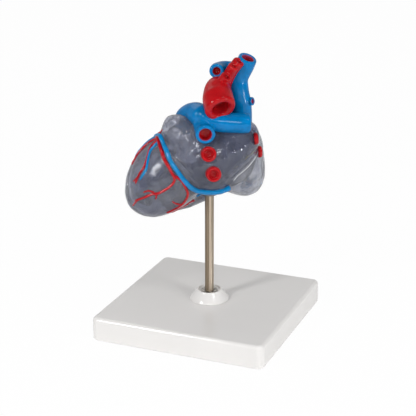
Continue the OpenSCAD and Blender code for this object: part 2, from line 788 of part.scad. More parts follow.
module left_pulmonary_artery() {
    color(vein_blue)
    in_heart()
        vessel([pulmonary_fork + [0, -2, 1], [11, 14, 29], [13, 18.3, 25.6], [16.1, 23.1, 24.9]], left_pulmonary_d, pulmonary_bore, 14,
            side = [1, 0, 0]);
}

module right_pulmonary_artery() {
    color(vein_blue)
    in_heart()
        vessel([[7, 16, 31], [3, 20.5, 30.1], [-3, 24.7, 29.7], [-9, 27.8, 29.5], [-16, 29.5, 28.7]], right_pulmonary_d, pulmonary_bore, 14);
}

vena_cava_path = [root_at([-25, 14.5, 27]), [-22, 15, 37], [-19.5, 14, 47], [-19.5, 13.5, 55], [-21.3, 16, 63],
    [-22, 18.7, 69]];

module superior_vena_cava() {
    color(vein_blue)
    in_heart()
        vessel(vena_cava_path, vena_cava_d, vena_cava_bore, 14, 2, [1, 0, 0], 1.15 * vena_cava_d);
}

module left_brachiocephalic_vein() {
    color(vein_blue)
    in_heart()
        vessel([vena_cava_path[4] + [2, -3, -3], [-15, 5, 60.5], [-6.6, 7, 61.5], [-0.5, 13, 62.5]],
            left_vein_d, left_vein_bore, 12, 2);
}

module azygos_vein() {
    color(vein_blue)
    in_heart()
        vessel([vena_cava_path[2] + [-1, 0.2, -8], [-21.9, 17.5, 39.6], [-23.3, 20.9, 40.2]], azygos_d, azygos_bore, 10, 2);
}

module inferior_vena_cava() {
    color(vein_blue)
    in_heart()
        let (root = root_at([-26, 4, -15]))
            vessel([root, root + [-2.5, -1, -4], root + [-4.5, -1.5, -8]], inferior_cava_d, inferior_cava_bore, 14, 2, [1, 0, 0]);
}

// Short ringed stub that stands on the atrium: a turned form with a rounded lip
module lung_vein(angles, way, d, stand_out) {
    root = on_heart(from_angles(angles), -shell_wall / 2);
    z = unit(way);
    x = unit(across([1, 0, 0], z));
    r = d / 2;
    lip = 0.7;
    h = shell_wall / 2 + stand_out;
    color(artery_red)
    in_heart()
        place(root, x, z)
            rotate_extrude()
                polygon(concat(
                    [[0, 0], [r + 0.4, 0]],
                    [for (a = [0 : 30 : 180]) [r - lip + lip * cos(a), h - lip + lip * sin(a)]],
                    [[lung_vein_bore / 2 + 0.4, h - lip], [lung_vein_bore / 2, h - lip - 0.5],
                     [lung_vein_bore / 2, shell_wall / 2 + 0.6], [0, shell_wall / 2 + 0.6]]));
}

module left_superior_pulmonary_vein() {
    lung_vein([59, 24], [0.5, 0.8, 0.25], left_lung_vein_d, left_lung_vein_len);
}

module left_inferior_pulmonary_vein() {
    lung_vein([65, -2], [0.45, 0.85, 0.05], left_lung_vein_d, left_lung_vein_len);
}

module right_superior_pulmonary_vein() {
    lung_vein([121, 27], [-0.72, 0.66, 0.12], right_lung_vein_d, right_lung_vein_len);
}

module right_inferior_pulmonary_vein() {
    lung_vein([140, 9], [-0.75, 0.65, 0.05], right_lung_vein_d, right_lung_vein_len);
}

// ---------- vessels of the heart wall, as longitudes and latitudes ----------

// Relief of one vessel on the outer face; part is -1 on the front wall, 1 behind the seam
module relief(angles, d, part = 1, steps = 2, thin = 0.75) {
    smooth = [for (p = curve([for (a = angles) on_heart(from_angles(a))], steps)) on_heart(unit(p), d / 2 - relief_sink)];
    margin = 1.2;
    p = [for (q = smooth) if (part * (seam_tilt(q) - front_angle) > margin) q];
    last = len(p) - 1;
    skin([for (i = [0 : last])
        ring(p[i], heading(p, i), unit(p[i]), d / 2 * (i == 0 || i == last ? 0.5 : mix(1, thin, i / last)), 6)]);
}

groove = [[-39, 24], [-24, 31], [-9, 33], [1, 26], [15, 9], [23, -1], [31, -14], [38, -25], [46, -33],
    [55, -39], [66, -43], [78, -44], [90, -43], [100, -40], [108, -36]];
descending = [[-105, 18], [-97, 7], [-88, -4], [-78, -14], [-67, -23], [-58, -31], [-49, -40]];
right_groove = [[-120, 36], [-126, 22], [-132, 5], [-140, -12], [-150, -24], [-160, -32], [-170, -39],
    [-180, -47], [167, -54]];

module great_cardiac_vein() {
    color(vein_blue)
    in_heart()
        relief(groove, great_vein_d, thin = 1.5);
}

module circumflex_artery() {
    color(artery_red)
    in_heart()
        relief([[-20, 31], [-10, 28], [-1, 21], [6, 13], [13, 5], [20, -6]], coronary_d, steps = 3);
}

module upper_marginal_artery() {
    color(artery_red)
    in_heart() {
        relief([[18, -3], [19, -9], [15, -15], [7, -19], [2, -19], [-4, -21], [-11, -23]], coronary_branch_d);
        relief([[4, -18], [0, -16], [-4, -17]], twig_d);
        relief([[4, -18], [5, -21], [4, -24]], twig_d);
        relief([[-8, -22], [-12, -25], [-16, -28]], twig_d);
    }
}

module lower_marginal_artery() {
    color(artery_red)
    in_heart() {
        relief([[19, -4], [26, -11], [30, -26], [27, -37], [18, -45], [9, -46], [2, -44]], coronary_branch_d);
        relief([[16, -45], [15, -38], [14, -32]], twig_d);
    }
}

module diagonal_artery() {
    color(artery_red)
    in_heart() {
        relief([[-11, 28], [-17, 22], [-12, 12], [-9, 3], [-10, -4], [-11, -11]], coronary_branch_d);
        relief([[-10, -5], [-12, -8], [-14, -10]], twig_d);
    }
}

module diagonal_vein() {
    color(vein_blue)
    in_heart()
        relief([[-9, 29], [-12, 22], [-12.5, 16], [-9, 8], [-6, 0], [-8, -8]], cardiac_vein_d);
}

module left_anterior_descending_artery() {
    color(artery_red)
    in_heart() {
        relief([[-17, 36], [-18, 30], [-27, 22], [-28, 13], [-28, 5], [-27, -1]], coronary_branch_d);
        relief([[-16, 33], [-11, 37], [-7, 39]], twig_d);
    }
}

module anterior_interventricular_artery() {
    color(artery_red)
    in_heart()
        relief(descending, coronary_branch_d, -1);
}

module anterior_interventricular_vein() {
    color(vein_blue)
    in_heart()
        relief([for (a = descending) a + [5, 4]], cardiac_vein_d, -1);
}

module right_coronary_artery() {
    color(artery_red)
    in_heart()
        relief(right_groove, coronary_d);
}

module right_marginal_artery() {
    color(artery_red)
    in_heart()
        relief([[-128, -12], [-112, -24], [-96, -36], [-78, -46], [-60, -50]], coronary_branch_d, -1);
}

module posterior_descending_artery() {
    color(artery_red)
    in_heart()
        relief([[6, -66], [2, -62], [-3, -57], [-7, -52], [-10, -47]], coronary_branch_d);
}

module middle_cardiac_vein() {
    color(vein_blue)
    in_heart()
        relief([[58, -47], [50, -53], [40, -57], [30, -58]], cardiac_vein_d);
}

// ---------- assembly ----------

base_plate();
post_collar();
post();
upper_star_washer();
lower_star_washer();
rear_heart_shell();
front_heart_wall();
post_socket();
ventricular_septum();
atrial_septum();
valve_plate();
mitral_valve();
tricuspid_valve();
aortic_valve();
pulmonary_valve();
papillary_muscles();
tendon_cords();
conducting_system();
peg_bosses();
locating_pegs();
aorta();
brachiocephalic_trunk();
left_common_carotid_artery();
left_subclavian_artery();
pulmonary_trunk();
left_pulmonary_artery();
right_pulmonary_artery();
superior_vena_cava();
left_brachiocephalic_vein();
azygos_vein();
inferior_vena_cava();
left_superior_pulmonary_vein();
left_inferior_pulmonary_vein();
right_superior_pulmonary_vein();
right_inferior_pulmonary_vein();
great_cardiac_vein();
circumflex_artery();
upper_marginal_artery();
lower_marginal_artery();
diagonal_artery();
diagonal_vein();
left_anterior_descending_artery();
anterior_interventricular_artery();
anterior_interventricular_vein();
right_coronary_artery();
right_marginal_artery();
posterior_descending_artery();
middle_cardiac_vein();
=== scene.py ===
"""Human heart model in smoky clear plastic on its metal post and white base, dressed over the CAD frame."""
import math

import bmesh
import bpy
import numpy as np
from mathutils import Matrix, Vector, noise


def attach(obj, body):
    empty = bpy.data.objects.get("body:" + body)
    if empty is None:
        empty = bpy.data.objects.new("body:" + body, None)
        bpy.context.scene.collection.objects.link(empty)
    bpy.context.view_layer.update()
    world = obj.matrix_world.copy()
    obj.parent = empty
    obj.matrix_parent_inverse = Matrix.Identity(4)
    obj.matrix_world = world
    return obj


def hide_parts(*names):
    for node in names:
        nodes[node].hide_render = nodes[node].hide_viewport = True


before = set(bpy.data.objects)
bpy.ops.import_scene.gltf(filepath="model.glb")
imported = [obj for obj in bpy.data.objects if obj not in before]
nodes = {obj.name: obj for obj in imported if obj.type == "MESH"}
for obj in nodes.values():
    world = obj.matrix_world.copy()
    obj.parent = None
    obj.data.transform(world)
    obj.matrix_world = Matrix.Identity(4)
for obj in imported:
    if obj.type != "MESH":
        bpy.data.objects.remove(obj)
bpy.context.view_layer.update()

# ---------- vectors and the place of the heart ----------

MM = 0.001
HEART_YAW = math.radians(-30)
INNER_CENTRE = np.array([-2.0, -9.0, 112.0])      # the heart's inner centre, from the post's axis, before the turn
POST_AT = np.array([2.0, 9.0])                    # the post's axis, from the inner centre
YAW = np.array([[math.cos(HEART_YAW), -math.sin(HEART_YAW), 0],
                [math.sin(HEART_YAW), math.cos(HEART_YAW), 0], [0, 0, 1]])


def unit(v):
    v = np.asarray(v, float)
    return v / np.linalg.norm(v, axis=-1, keepdims=True)


def across(v, axis):
    return v - (v @ axis) * axis


def on_stand(p):
    """Points given in mm from the heart's inner centre, as metres in the row frame."""
    return (np.asarray(p, float) + INNER_CENTRE) @ YAW.T * MM


def from_angles(angles):
    a = np.radians(np.atleast_2d(np.asarray(angles, float)))
    return np.stack([np.cos(a[:, 1]) * np.cos(a[:, 0]), np.cos(a[:, 1]) * np.sin(a[:, 0]), np.sin(a[:, 1])], 1)


def curve(points, steps):
    """Smooth curve through the points, with the given steps between two of them."""
    p = np.asarray(points, float)
    ends = np.vstack([p[:1], p, p[-1:]])
    t = np.arange(steps)[:, None] / steps
    out = []
    for i in range(len(p) - 1):
        a, b, c, d = ends[i:i + 4]
        out.append(0.5 * (2 * b + (c - a) * t + (2 * a - 5 * b + 4 * c - d) * t ** 2
                          + (3 * b - a - 3 * c + d) * t ** 3))
    return np.vstack(out + [p[-1:]])


def headings(p):
    return unit(np.vstack([p[1] - p[0], p[2:] - p[:-2], p[-1] - p[-2]]))


# ---------- the heart's outer form ----------

# centre, long axis, half length, radius; then how milky the plastic is there, how folded its skin, how dark its
# smoke (the plastic's own tint, set chamber by chamber as partly painted shade) and how satin its polish
CHAMBERS = {
    "left_ventricle": ([18.9, -10, -5.5], [0.683, -0.233, -0.693], 37.5, 24, 0.17, 0.2, 0.64, 0.12),
    "right_ventricle": ([-5.5, -8, -9], [0.6, -0.52, -0.6], 42, 20, 0.14, 0.2, 0.78, 0.1),
    "left_atrium": ([0, 12, 6], [-0.77, 0.35, 0.53], 33, 18.5, 0.17, 0.1, 0.95, 0.06),
    "right_atrium": ([-17, 7, -1.5], [-0.53, 0.32, -0.78], 29, 18, 0.13, 0.12, 0.0, 0.08),
    "left_auricle": ([11.3, 1.9, 9.9], [0.51, -0.24, 0.83], 26.5, 15.5, 0.16, 0.7, 0.46, 0.11),
    "right_auricle": ([-21, 0.5, 2], [-0.8, -0.49, 0.35], 22.5, 21, 0.1, 0.8, 0.4, 0.1),
    "sinus_swell": ([1.5, 9.5, -9.5], [-0.79, 0.61, 0], 15, 10, 0.17, 0.1, 0.9, 0.1),
}
CREASE = 10
SHELL_WALL = 2.6
FRONT_POLE = unit([0.25, -0.85, -0.46])
FRONT_ANGLE = 50.0
SEAM_GAP = 0.3
SEAM_R = 33.0             # how far the seam lies from the inner centre, on average
RELIEF_SINK = 0.7


def egg_reach(w, centre, axis, length, radius):
    axis = unit(axis)

    def squeeze(v):
        along = (v @ axis)[..., None] * axis
        return (v - along) / radius + along / length

    p, q = squeeze(w), squeeze(np.asarray(centre, float))
    a, b = (p * p).sum(-1), p @ q
    disc = b * b - a * (q @ q - 1)
    return np.where(disc > 0, np.maximum((b + np.sqrt(np.maximum(disc, 0))) / a, 0.001), 0.001)


def chamber_reach(w):
    return np.stack([egg_reach(w, *c[:4]) for c in CHAMBERS.values()], -1)


def heart_r(w):
    return (chamber_reach(w) ** CREASE).sum(-1) ** (1 / CREASE)


def chamber_mix(w, column, sharp=20):
    """A chamber's number in the table above, run together where two chambers meet."""
    share = chamber_reach(w) ** sharp
    return share @ np.array([c[column] for c in CHAMBERS.values()]) / share.sum(-1)


def grain(p, size, seed=0.0):
    return np.array([noise.noise(Vector(q) / size + Vector((seed, 0, 0))) for q in p])


def skin_relief(w):
    """Height in mm of the cast skin over the smooth form: soft swells, and folds on the auricles."""
    p = w * heart_r(w)[:, None]
    swell = 0.35 * grain(p, 13, 3.1) + 0.28 * grain(p, 5.5, 8.7) + 0.08 * grain(p, 2.6, 17.9)
    bent = p + 4 * np.stack([grain(p, 9, s) for s in (21.3, 34.9, 55.1)], 1)
    folds = 1 - np.abs(grain(bent * [1, 1, 0.55], 7.5, 13.7)) * 3.2
    folded = chamber_mix(w, 5)
    return swell + folded * (0.75 * np.clip(folds, -0.6, 1) - 0.45)


def on_heart(w, lift=0.0):
    w = np.atleast_2d(w)
    return w * (heart_r(w) + skin_relief(w) + lift)[:, None]


def seam_tilt(p):
    return np.degrees(np.arccos(np.clip(unit(p) @ FRONT_POLE, -1, 1)))


# ---------- meshes ----------

def make_piece(name, points, faces, body, material, replaces=(), marks=None):
    """Mesh object at the origin that rides on a CAD body and stands for the named CAD nodes."""
    mesh = bpy.data.meshes.new(name)
    mesh.from_pydata([tuple(p) for p in np.asarray(points, float)], [], [tuple(map(int, f)) for f in faces])
    for mark, values in (marks or {}).items():
        mesh.attributes.new(mark, "FLOAT", "POINT").data.foreach_set("value", np.asarray(values, np.float32))
    mesh.polygons.foreach_set("use_smooth", [True] * len(mesh.polygons))
    mesh.materials.append(material)
    mesh.update()
    piece = bpy.data.objects.new(name, mesh)
    bpy.context.scene.collection.objects.link(piece)
    finish_piece(piece, body, replaces)
    return piece


def finish_piece(piece, body, replaces):
    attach(piece, body)
    if replaces:
        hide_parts(*replaces)


def ring_rows(rings, closed=True):
    """Skin over rows of equally many points; a closed one ends on a point of its own at each end."""
    n, rows = len(rings[0]), len(rings)
    points = np.vstack(rings)
    k = np.arange(n)
    faces = [(i * n + a, i * n + b, (i + 1) * n + b, (i + 1) * n + a)
             for i in range(rows - 1) for a, b in zip(k, (k + 1) % n)]
    if closed:
        points = np.vstack([points, np.mean(rings[0], 0)])
        faces += [(len(points) - 1, b, a) for a, b in zip(k, (k + 1) % n)]
        points = np.vstack([points, np.mean(rings[-1], 0)])
        last = (rows - 1) * n
        faces += [(len(points) - 1, last + a, last + b) for a, b in zip(k, (k + 1) % n)]
    return points, faces


def turned(profile, at, axis, side, sides=48, wobble=0.0, seed=0.0, capped=True):
    """Lathe form: profile of (radius, height) from the foot's middle to the last point, about an axis."""
    z = unit(axis)
    x = unit(across(np.asarray(side, float), z))
    y = np.cross(z, x)
    turn = np.linspace(0, 2 * math.pi, sides, endpoint=False)
    ripple = np.array([noise.noise(Vector((math.cos(t) * 1.6 + seed, math.sin(t) * 1.6, seed))) for t in turn])
    rings = []
    for r, h in profile:
        rr = r * (1 + wobble * ripple)
        rings.append(at + h * z + rr[:, None] * (np.cos(turn)[:, None] * x + np.sin(turn)[:, None] * y)
                     + (wobble * 2.2 * np.roll(ripple, 7) * (h > 0.5))[:, None] * z)
    return ring_rows(rings, capped)


def joined(parts):
    points, faces, shift = [], [], 0
    for p, f in parts:
        points.append(np.asarray(p, float))
        faces += [tuple(i + shift for i in face) for face in f]
        shift += len(p)
    return np.vstack(points), faces


# ---------- great vessels ----------

def vessel(path, d, bore, start_d=0, widens=(0, 1), mouth=None, depth=4.5, steps=8, sides=40, root_flare=0.0,
           uneven=0.025, seed=0.0):
    """Vessel along a path, with a rounded lip and a blind bore; gives its skin and its mouth.

    Between the two shares of its run in widens it goes from the width start_d to the width d.
    """
    p = curve(path, steps)
    way = headings(p)
    run = np.concatenate([[0], np.cumsum(np.linalg.norm(np.diff(p, axis=0), axis=1))])
    share = run / run[-1]
    wide = np.clip((share - widens[0]) / (widens[1] - widens[0]), 0, 1)
    wide = wide * wide * (3 - 2 * wide) if widens != (0, 1) else wide
    radius = (start_d or d) / 2 * (1 - wide) + d / 2 * wide
    radius = radius + root_flare * np.exp(-run / 2.2)
    lip = (d - bore) / 4 if bore else 0.0
    side = unit(across(np.array([0.3, 0.9, 0.2]), way[0]))
    rings = []
    turn = np.linspace(0, 2 * math.pi, sides, endpoint=False)

    def ring(centre, axis, r, level):
        u = unit(across(side, axis))
        v = np.cross(axis, u)
        spoke = np.cos(turn)[:, None] * u + np.sin(turn)[:, None] * v
        bumps = np.array([noise.noise(Vector(centre + r * s) / 6.0 + Vector((seed, 0, 0))) for s in spoke])
        return centre + (r * (1 + uneven * level * bumps))[:, None] * spoke

    bend = np.zeros(len(p)) if mouth is None else np.clip((run - run[-1] + 1.6 * d / 2 + 4) / (d / 2 + 4), 0, 1)
    for i in np.flatnonzero(run < run[-1] - (lip * 1.2 if mouth is None else 0.45 * d)):
        way[i] = unit(way[i] * (1 - bend[i]) + unit(way[-1] if mouth is None else mouth) * bend[i])
        side = unit(across(side, way[i]))
        rings.append(ring(p[i], way[i], radius[i], 1))
    end, out = p[-1], way[-1] if mouth is None else unit(mouth)
    if not bore:
        rings += [ring(end + 0.4 * d * math.sin(a) * out, out, d / 2 * math.cos(a), 1)
                  for a in np.radians(range(10, 90, 12))]
        return ring_rows(rings), None
    for a in range(0, 181, 20):
        rings.append(ring(end + lip * (math.sin(math.radians(a)) - 1) * out, out,
                          d / 2 - lip + lip * math.cos(math.radians(a)), 1))
    for s, shrink in ((0.35, 1), (0.7, 0.97), (0.92, 0.8), (1.0, 0.45)):
        rings.append(ring(end - (lip + s * (depth - lip)) * out, out, bore / 2 * shrink, 0.5))
    return ring_rows(rings), (end, out, bore / 2, lip)


def cast_tree(name, tubes, material, replaces, voxel=0.42, rounds=14):
    """One casting from several vessels: their skins run together, the joints softened, the bores marked."""
    points, faces = joined([t[0] for t in tubes])
    rough = bpy.data.objects.new(name + "_rough", bpy.data.meshes.new(name + "_rough"))
    rough.data.from_pydata([tuple(q) for q in points], [], faces)
    bpy.context.scene.collection.objects.link(rough)
    remesh = rough.modifiers.new("run_together", "REMESH")
    remesh.mode, remesh.voxel_size = "VOXEL", voxel
    bpy.context.view_layer.update()
    solid = bpy.data.meshes.new_from_object(rough.evaluated_get(bpy.context.evaluated_depsgraph_get()))
    co = np.empty(len(solid.vertices) * 3)
    solid.vertices.foreach_get("co", co)
    co = co.reshape(-1, 3)
    edges = np.empty(len(solid.edges) * 2, int)
    solid.edges.foreach_get("vertices", edges)
    edges = edges.reshape(-1, 2)
    quads = [tuple(f.vertices) for f in solid.polygons]
    near_mouth = np.zeros(len(co))
    lumen = np.zeros(len(co))
    for end, out, bore_r, lip in [mouth for _, mouth in tubes if mouth]:
        along = (co - end) @ out
        away = np.linalg.norm(co - end - along[:, None] * out, axis=1)
        near_mouth = np.maximum(near_mouth, (np.abs(along) < 7) & (away < bore_r + 2.6 * lip))
        inside = np.clip((bore_r + 0.22 * lip + 0.1 - away) / 0.4, 0, 1) * (along > -9)
        inside = inside * np.clip((0.05 - along) / 0.5, 0, 1)
        lumen = np.maximum(lumen, inside)
    co = soften(co, edges, np.where(near_mouth > 0, 0.35, 1.0), rounds)
    bpy.data.objects.remove(rough)
    return make_piece(name, on_stand(co), quads, "heart", material, replaces, marks={"lumen": lumen})


def soften(co, edges, weight, rounds):
    count = np.bincount(edges.ravel(), minlength=len(co))[:, None].clip(1)
    for i in range(rounds * 2):
        total = np.stack([np.bincount(edges[:, 0], co[edges[:, 1], k], len(co))
                          + np.bincount(edges[:, 1], co[edges[:, 0], k], len(co)) for k in range(3)], 1)
        co = co + (0.5 if i % 2 == 0 else -0.49) * weight[:, None] * (total / count - co)
    return co


# ---------- materials ----------

def linear(code):
    """sRGB hex as the linear colour that a shader takes."""
    channels = [int(code[i:i + 2], 16) / 255 for i in (1, 3, 5)]
    return tuple(c / 12.92 if c <= 0.04045 else ((c + 0.055) / 1.055) ** 2.4 for c in channels) + (1.0,)


def add(tree, kind, inputs=None, **settings):
    """Adds a node: settings are its own, inputs take a value, or the node or socket that feeds them."""
    node = tree.nodes.new(kind)
    for name, value in settings.items():
        setattr(node, name, value)
    for socket, value in (inputs or {}).items():
        if isinstance(value, bpy.types.Node):
            value = value.outputs[0]
        if isinstance(value, bpy.types.NodeSocket):
            tree.links.new(value, node.inputs[socket])
        else:
            node.inputs[socket].default_value = value
    return node


def finish_named(name, inputs):
    material = bpy.data.materials.new(name)
    material.use_nodes = True
    tree = material.node_tree
    tree.nodes.clear()
    shader = add(tree, "ShaderNodeBsdfPrincipled", inputs(tree))
    add(tree, "ShaderNodeOutputMaterial", {"Surface": shader})
    return material


PER_MM = 1000.0     # noise scale that makes a blob about 1 mm across; divided by the size wanted


def smoky_styrene(tree):
    # injection-moulded clear polystyrene with a smoky tint: glossy, see-through, darker chamber by chamber, which is
    # partly painted shade, with milky clouds of about 13 mm, drawn wisps of 4.5 mm, and a painted highlight: a pale,
    # milky line along the crease where the two atria meet
    milk, smoke, crease_highlight, satin = [add(tree, "ShaderNodeAttribute", attribute_name=n).outputs["Fac"]
                                for n in ("milk", "smoke", "crease_highlight", "satin")]
    where = add(tree, "ShaderNodeTexCoord").outputs["Object"]
    cloud = add(tree, "ShaderNodeTexNoise", {"Vector": where, "Scale": PER_MM / 13, "Detail": 4, "Roughness": 0.6})
    drawn = add(tree, "ShaderNodeMapping", {"Vector": where, "Scale": (1, 1, 0.45)})
    wisp = add(tree, "ShaderNodeTexNoise", {"Vector": drawn, "Scale": PER_MM / 4.5, "Detail": 4, "Roughness": 0.65})
    cloudy = add(tree, "ShaderNodeMapRange", {"Value": cloud, "From Min": 0.3, "From Max": 0.7,
                                              "To Min": -0.28, "To Max": 0.28})
    wispy = add(tree, "ShaderNodeMapRange", {"Value": wisp, "From Min": 0.3, "From Max": 0.7,
                                             "To Min": -0.22, "To Max": 0.2})
    # how dark each chamber is set is partly painted shade, over the plastic's own smoky tint
    dark = add(tree, "ShaderNodeMath", {0: smoke, 1: cloudy}, operation="ADD")
    dark = add(tree, "ShaderNodeMath", {0: dark, 1: wispy}, operation="ADD")
    # painted highlight: the line along the atria's crease lightens the tint
    dark = add(tree, "ShaderNodeMath", {0: dark, 1: crease_highlight}, operation="SUBTRACT", use_clamp=True)
    tint = add(tree, "ShaderNodeMix", {0: dark, 6: linear("#D2D4DB"), 7: linear("#80859C")}, data_type="RGBA")
    milky = add(tree, "ShaderNodeMapRange", {"Value": wisp, "From Min": 0.35, "From Max": 0.7,
                                             "To Min": -0.05, "To Max": 0.12})
    haze = add(tree, "ShaderNodeMath", {0: crease_highlight, 1: 0.5, 2: milk}, operation="MULTIPLY_ADD")
    haze = add(tree, "ShaderNodeMath", {0: haze, 1: milky}, operation="ADD")
    clear = add(tree, "ShaderNodeMath", {0: 1.0, 1: haze}, operation="SUBTRACT", use_clamp=True)
    ripple = add(tree, "ShaderNodeBump", {"Strength": 0.5, "Distance": 0.9 * MM, "Height": wisp})
    return {"Base Color": tint.outputs[2], "Roughness": satin, "Transmission Weight": clear, "IOR": 1.5,
            "Normal": ripple}


def enamel(tree, colour, shade, lumen_colour=None, wet=0.45):
    # brushed-on gloss enamel over plastic: deep colour that pools in patches of 5 mm, wet highlights, brush
    # ripples of 2.6 mm; inside the bores a dark red
    where = add(tree, "ShaderNodeTexCoord").outputs["Object"]
    pool = add(tree, "ShaderNodeTexNoise", {"Vector": where, "Scale": PER_MM / 5, "Detail": 3, "Roughness": 0.55})
    pooled = add(tree, "ShaderNodeMapRange", {"Value": pool, "From Min": 0.3, "From Max": 0.7})
    paint = add(tree, "ShaderNodeMix", {0: pooled, 6: linear(colour), 7: linear(shade)}, data_type="RGBA")
    if lumen_colour:
        inside = add(tree, "ShaderNodeAttribute", attribute_name="lumen").outputs["Fac"]
        paint = add(tree, "ShaderNodeMix", {0: inside, 6: paint.outputs[2], 7: linear(lumen_colour)},
                    data_type="RGBA")
    stroke = add(tree, "ShaderNodeTexNoise", {"Vector": where, "Scale": PER_MM / 2.6, "Detail": 2, "Roughness": 0.5})
    brush = add(tree, "ShaderNodeBump", {"Strength": 0.3, "Distance": 0.4 * MM, "Height": stroke})
    satin = add(tree, "ShaderNodeMapRange", {"Value": pool, "From Min": 0.3, "From Max": 0.7,
                                             "To Min": 0.28, "To Max": 0.4})
    return {"Base Color": paint.outputs[2], "Roughness": satin, "IOR": 1.5, "Specular IOR Level": 0.02,
            "Coat Weight": wet, "Coat Roughness": 0.1, "Normal": brush}


def white_moulding(tree):
    # injection-moulded ABS: glossy white with a faint spark texture, drawn at 3 mm so that it shows at all, and
    # tone that drifts over 35 mm from handling
    where = add(tree, "ShaderNodeTexCoord").outputs["Object"]
    fine = add(tree, "ShaderNodeTexNoise", {"Vector": where, "Scale": PER_MM / 3, "Detail": 2, "Roughness": 0.5})
    dull = add(tree, "ShaderNodeTexNoise", {"Vector": where, "Scale": PER_MM / 35, "Detail": 1, "Roughness": 0.4})
    drift = add(tree, "ShaderNodeMapRange", {"Value": dull, "From Min": 0.1, "From Max": 0.9})
    tone = add(tree, "ShaderNodeMix", {0: drift, 6: linear("#E8E6E4"), 7: linear("#E3E1DF")}, data_type="RGBA")
    spark = add(tree, "ShaderNodeBump", {"Strength": 0.04, "Distance": 0.2 * MM, "Height": fine})
    return {"Base Color": tone.outputs[2], "Roughness": 0.15, "IOR": 1.5, "Normal": spark}


def nickel_rod(tree):
    # ground steel rod with bright nickel plating: warm grey with painted reflections, lengthwise cream and dark brown
    # stripes of 1.7 mm, and the marks that go round it draw each lamp out to a line
    where = add(tree, "ShaderNodeTexCoord").outputs["Object"]
    along = add(tree, "ShaderNodeMapping", {"Vector": where, "Scale": (1, 1, 0.01)})
    lines = add(tree, "ShaderNodeTexNoise", {"Vector": along, "Scale": PER_MM / 1.7, "Detail": 2, "Roughness": 0.5})
    # painted reflection: the cream and dark brown lengthwise stripes
    painted_stripes = add(tree, "ShaderNodeMapRange", {"Value": lines, "From Min": 0.4, "From Max": 0.6})
    tone = add(tree, "ShaderNodeMix", {0: painted_stripes, 6: linear("#F2E2CE"), 7: linear("#A08F7A")}, data_type="RGBA")
    round_it = add(tree, "ShaderNodeTangent", direction_type="RADIAL", axis="Z")
    return {"Base Color": tone.outputs[2], "Metallic": 1.0, "Roughness": 0.42, "Anisotropic": 0.9,
            "Anisotropic Rotation": 0.25, "Tangent": round_it}


def spring_steel(tree):
    # stamped spring steel: grey with a dull sheen, and paler in random patches of 1.5 mm
    where = add(tree, "ShaderNodeTexCoord").outputs["Object"]
    patch_grain = add(tree, "ShaderNodeTexNoise", {"Vector": where, "Scale": PER_MM / 1.5, "Detail": 3, "Roughness": 0.6})
    pale_patches = add(tree, "ShaderNodeMapRange", {"Value": patch_grain, "From Min": 0.42, "From Max": 0.58})
    tone = add(tree, "ShaderNodeMix", {0: pale_patches, 6: linear("#8E8B87"), 7: linear("#DAD6D0")}, data_type="RGBA")
    sheen = add(tree, "ShaderNodeMapRange", {"Value": patch_grain, "From Min": 0.3, "From Max": 0.7,
                                             "To Min": 0.3, "To Max": 0.5})
    return {"Base Color": tone.outputs[2], "Metallic": 1.0, "Roughness": sheen}


def soft_vinyl(tree, colour, shade):
    # cast soft PVC of the valves and bundles: even satin colour with pools of 4 mm and a soft skin
    where = add(tree, "ShaderNodeTexCoord").outputs["Object"]
    pool = add(tree, "ShaderNodeTexNoise", {"Vector": where, "Scale": PER_MM / 4, "Detail": 3, "Roughness": 0.5})
    pooled = add(tree, "ShaderNodeMapRange", {"Value": pool, "From Min": 0.3, "From Max": 0.7})
    tone = add(tree, "ShaderNodeMix", {0: pooled, 6: linear(colour), 7: linear(shade)}, data_type="RGBA")
    skin = add(tree, "ShaderNodeBump", {"Strength": 0.2, "Distance": 0.3 * MM, "Height": pool})
    satin = add(tree, "ShaderNodeMapRange", {"Value": pool, "From Min": 0.3, "From Max": 0.7,
                                             "To Min": 0.35, "To Max": 0.5})
    return {"Base Color": tone.outputs[2], "Roughness": satin, "IOR": 1.52, "Normal": skin}


def smoky_inner(tree):
    # the inner walls are the same smoky styrene, more milky, as thick castings are, with clouds of 9 mm
    where = add(tree, "ShaderNodeTexCoord").outputs["Object"]
    cloud = add(tree, "ShaderNodeTexNoise", {"Vector": where, "Scale": PER_MM / 9, "Detail": 4, "Roughness": 0.55})
    cloudy = add(tree, "ShaderNodeMapRange", {"Value": cloud, "From Min": 0.3, "From Max": 0.7})
    tint = add(tree, "ShaderNodeMix", {0: cloudy, 6: linear("#8C8F99"), 7: linear("#A9ACB4")}, data_type="RGBA")
    skin = add(tree, "ShaderNodeBump", {"Strength": 0.2, "Distance": 0.4 * MM, "Height": cloud})
    return {"Base Color": tint.outputs[2], "Roughness": 0.25, "Transmission Weight": 0.5, "IOR": 1.5, "Normal": skin}


STYRENE = finish_named("smoky_clear_styrene", smoky_styrene)
INNER_STYRENE = finish_named("smoky_inner_styrene", smoky_inner)
RED = finish_named("red_gloss_enamel", lambda t: enamel(t, "#B8141B", "#A00E15", "#A31218"))
BLUE = finish_named("blue_gloss_enamel", lambda t: enamel(t, "#007ABC", "#0069A2", "#A41016"))
RED_WALL = finish_named("red_gloss_enamel_lines", lambda t: enamel(t, "#B8111B", "#A00D17", wet=0.8))
BLUE_WALL = finish_named("blue_gloss_enamel_lines", lambda t: enamel(t, "#0080BF", "#0070A8", wet=0.8))
WHITE = finish_named("white_moulded_abs", white_moulding)
NICKEL = finish_named("nickel_plated_rod", nickel_rod)
SPRING = finish_named("blued_spring_steel", spring_steel)
CREAM = finish_named("cream_soft_vinyl", lambda t: soft_vinyl(t, "#D8CDB4", "#C9BDA2"))
YELLOW = finish_named("yellow_soft_vinyl", lambda t: soft_vinyl(t, "#C2B878", "#B0A668"))

# ---------- camera, floor and light ----------

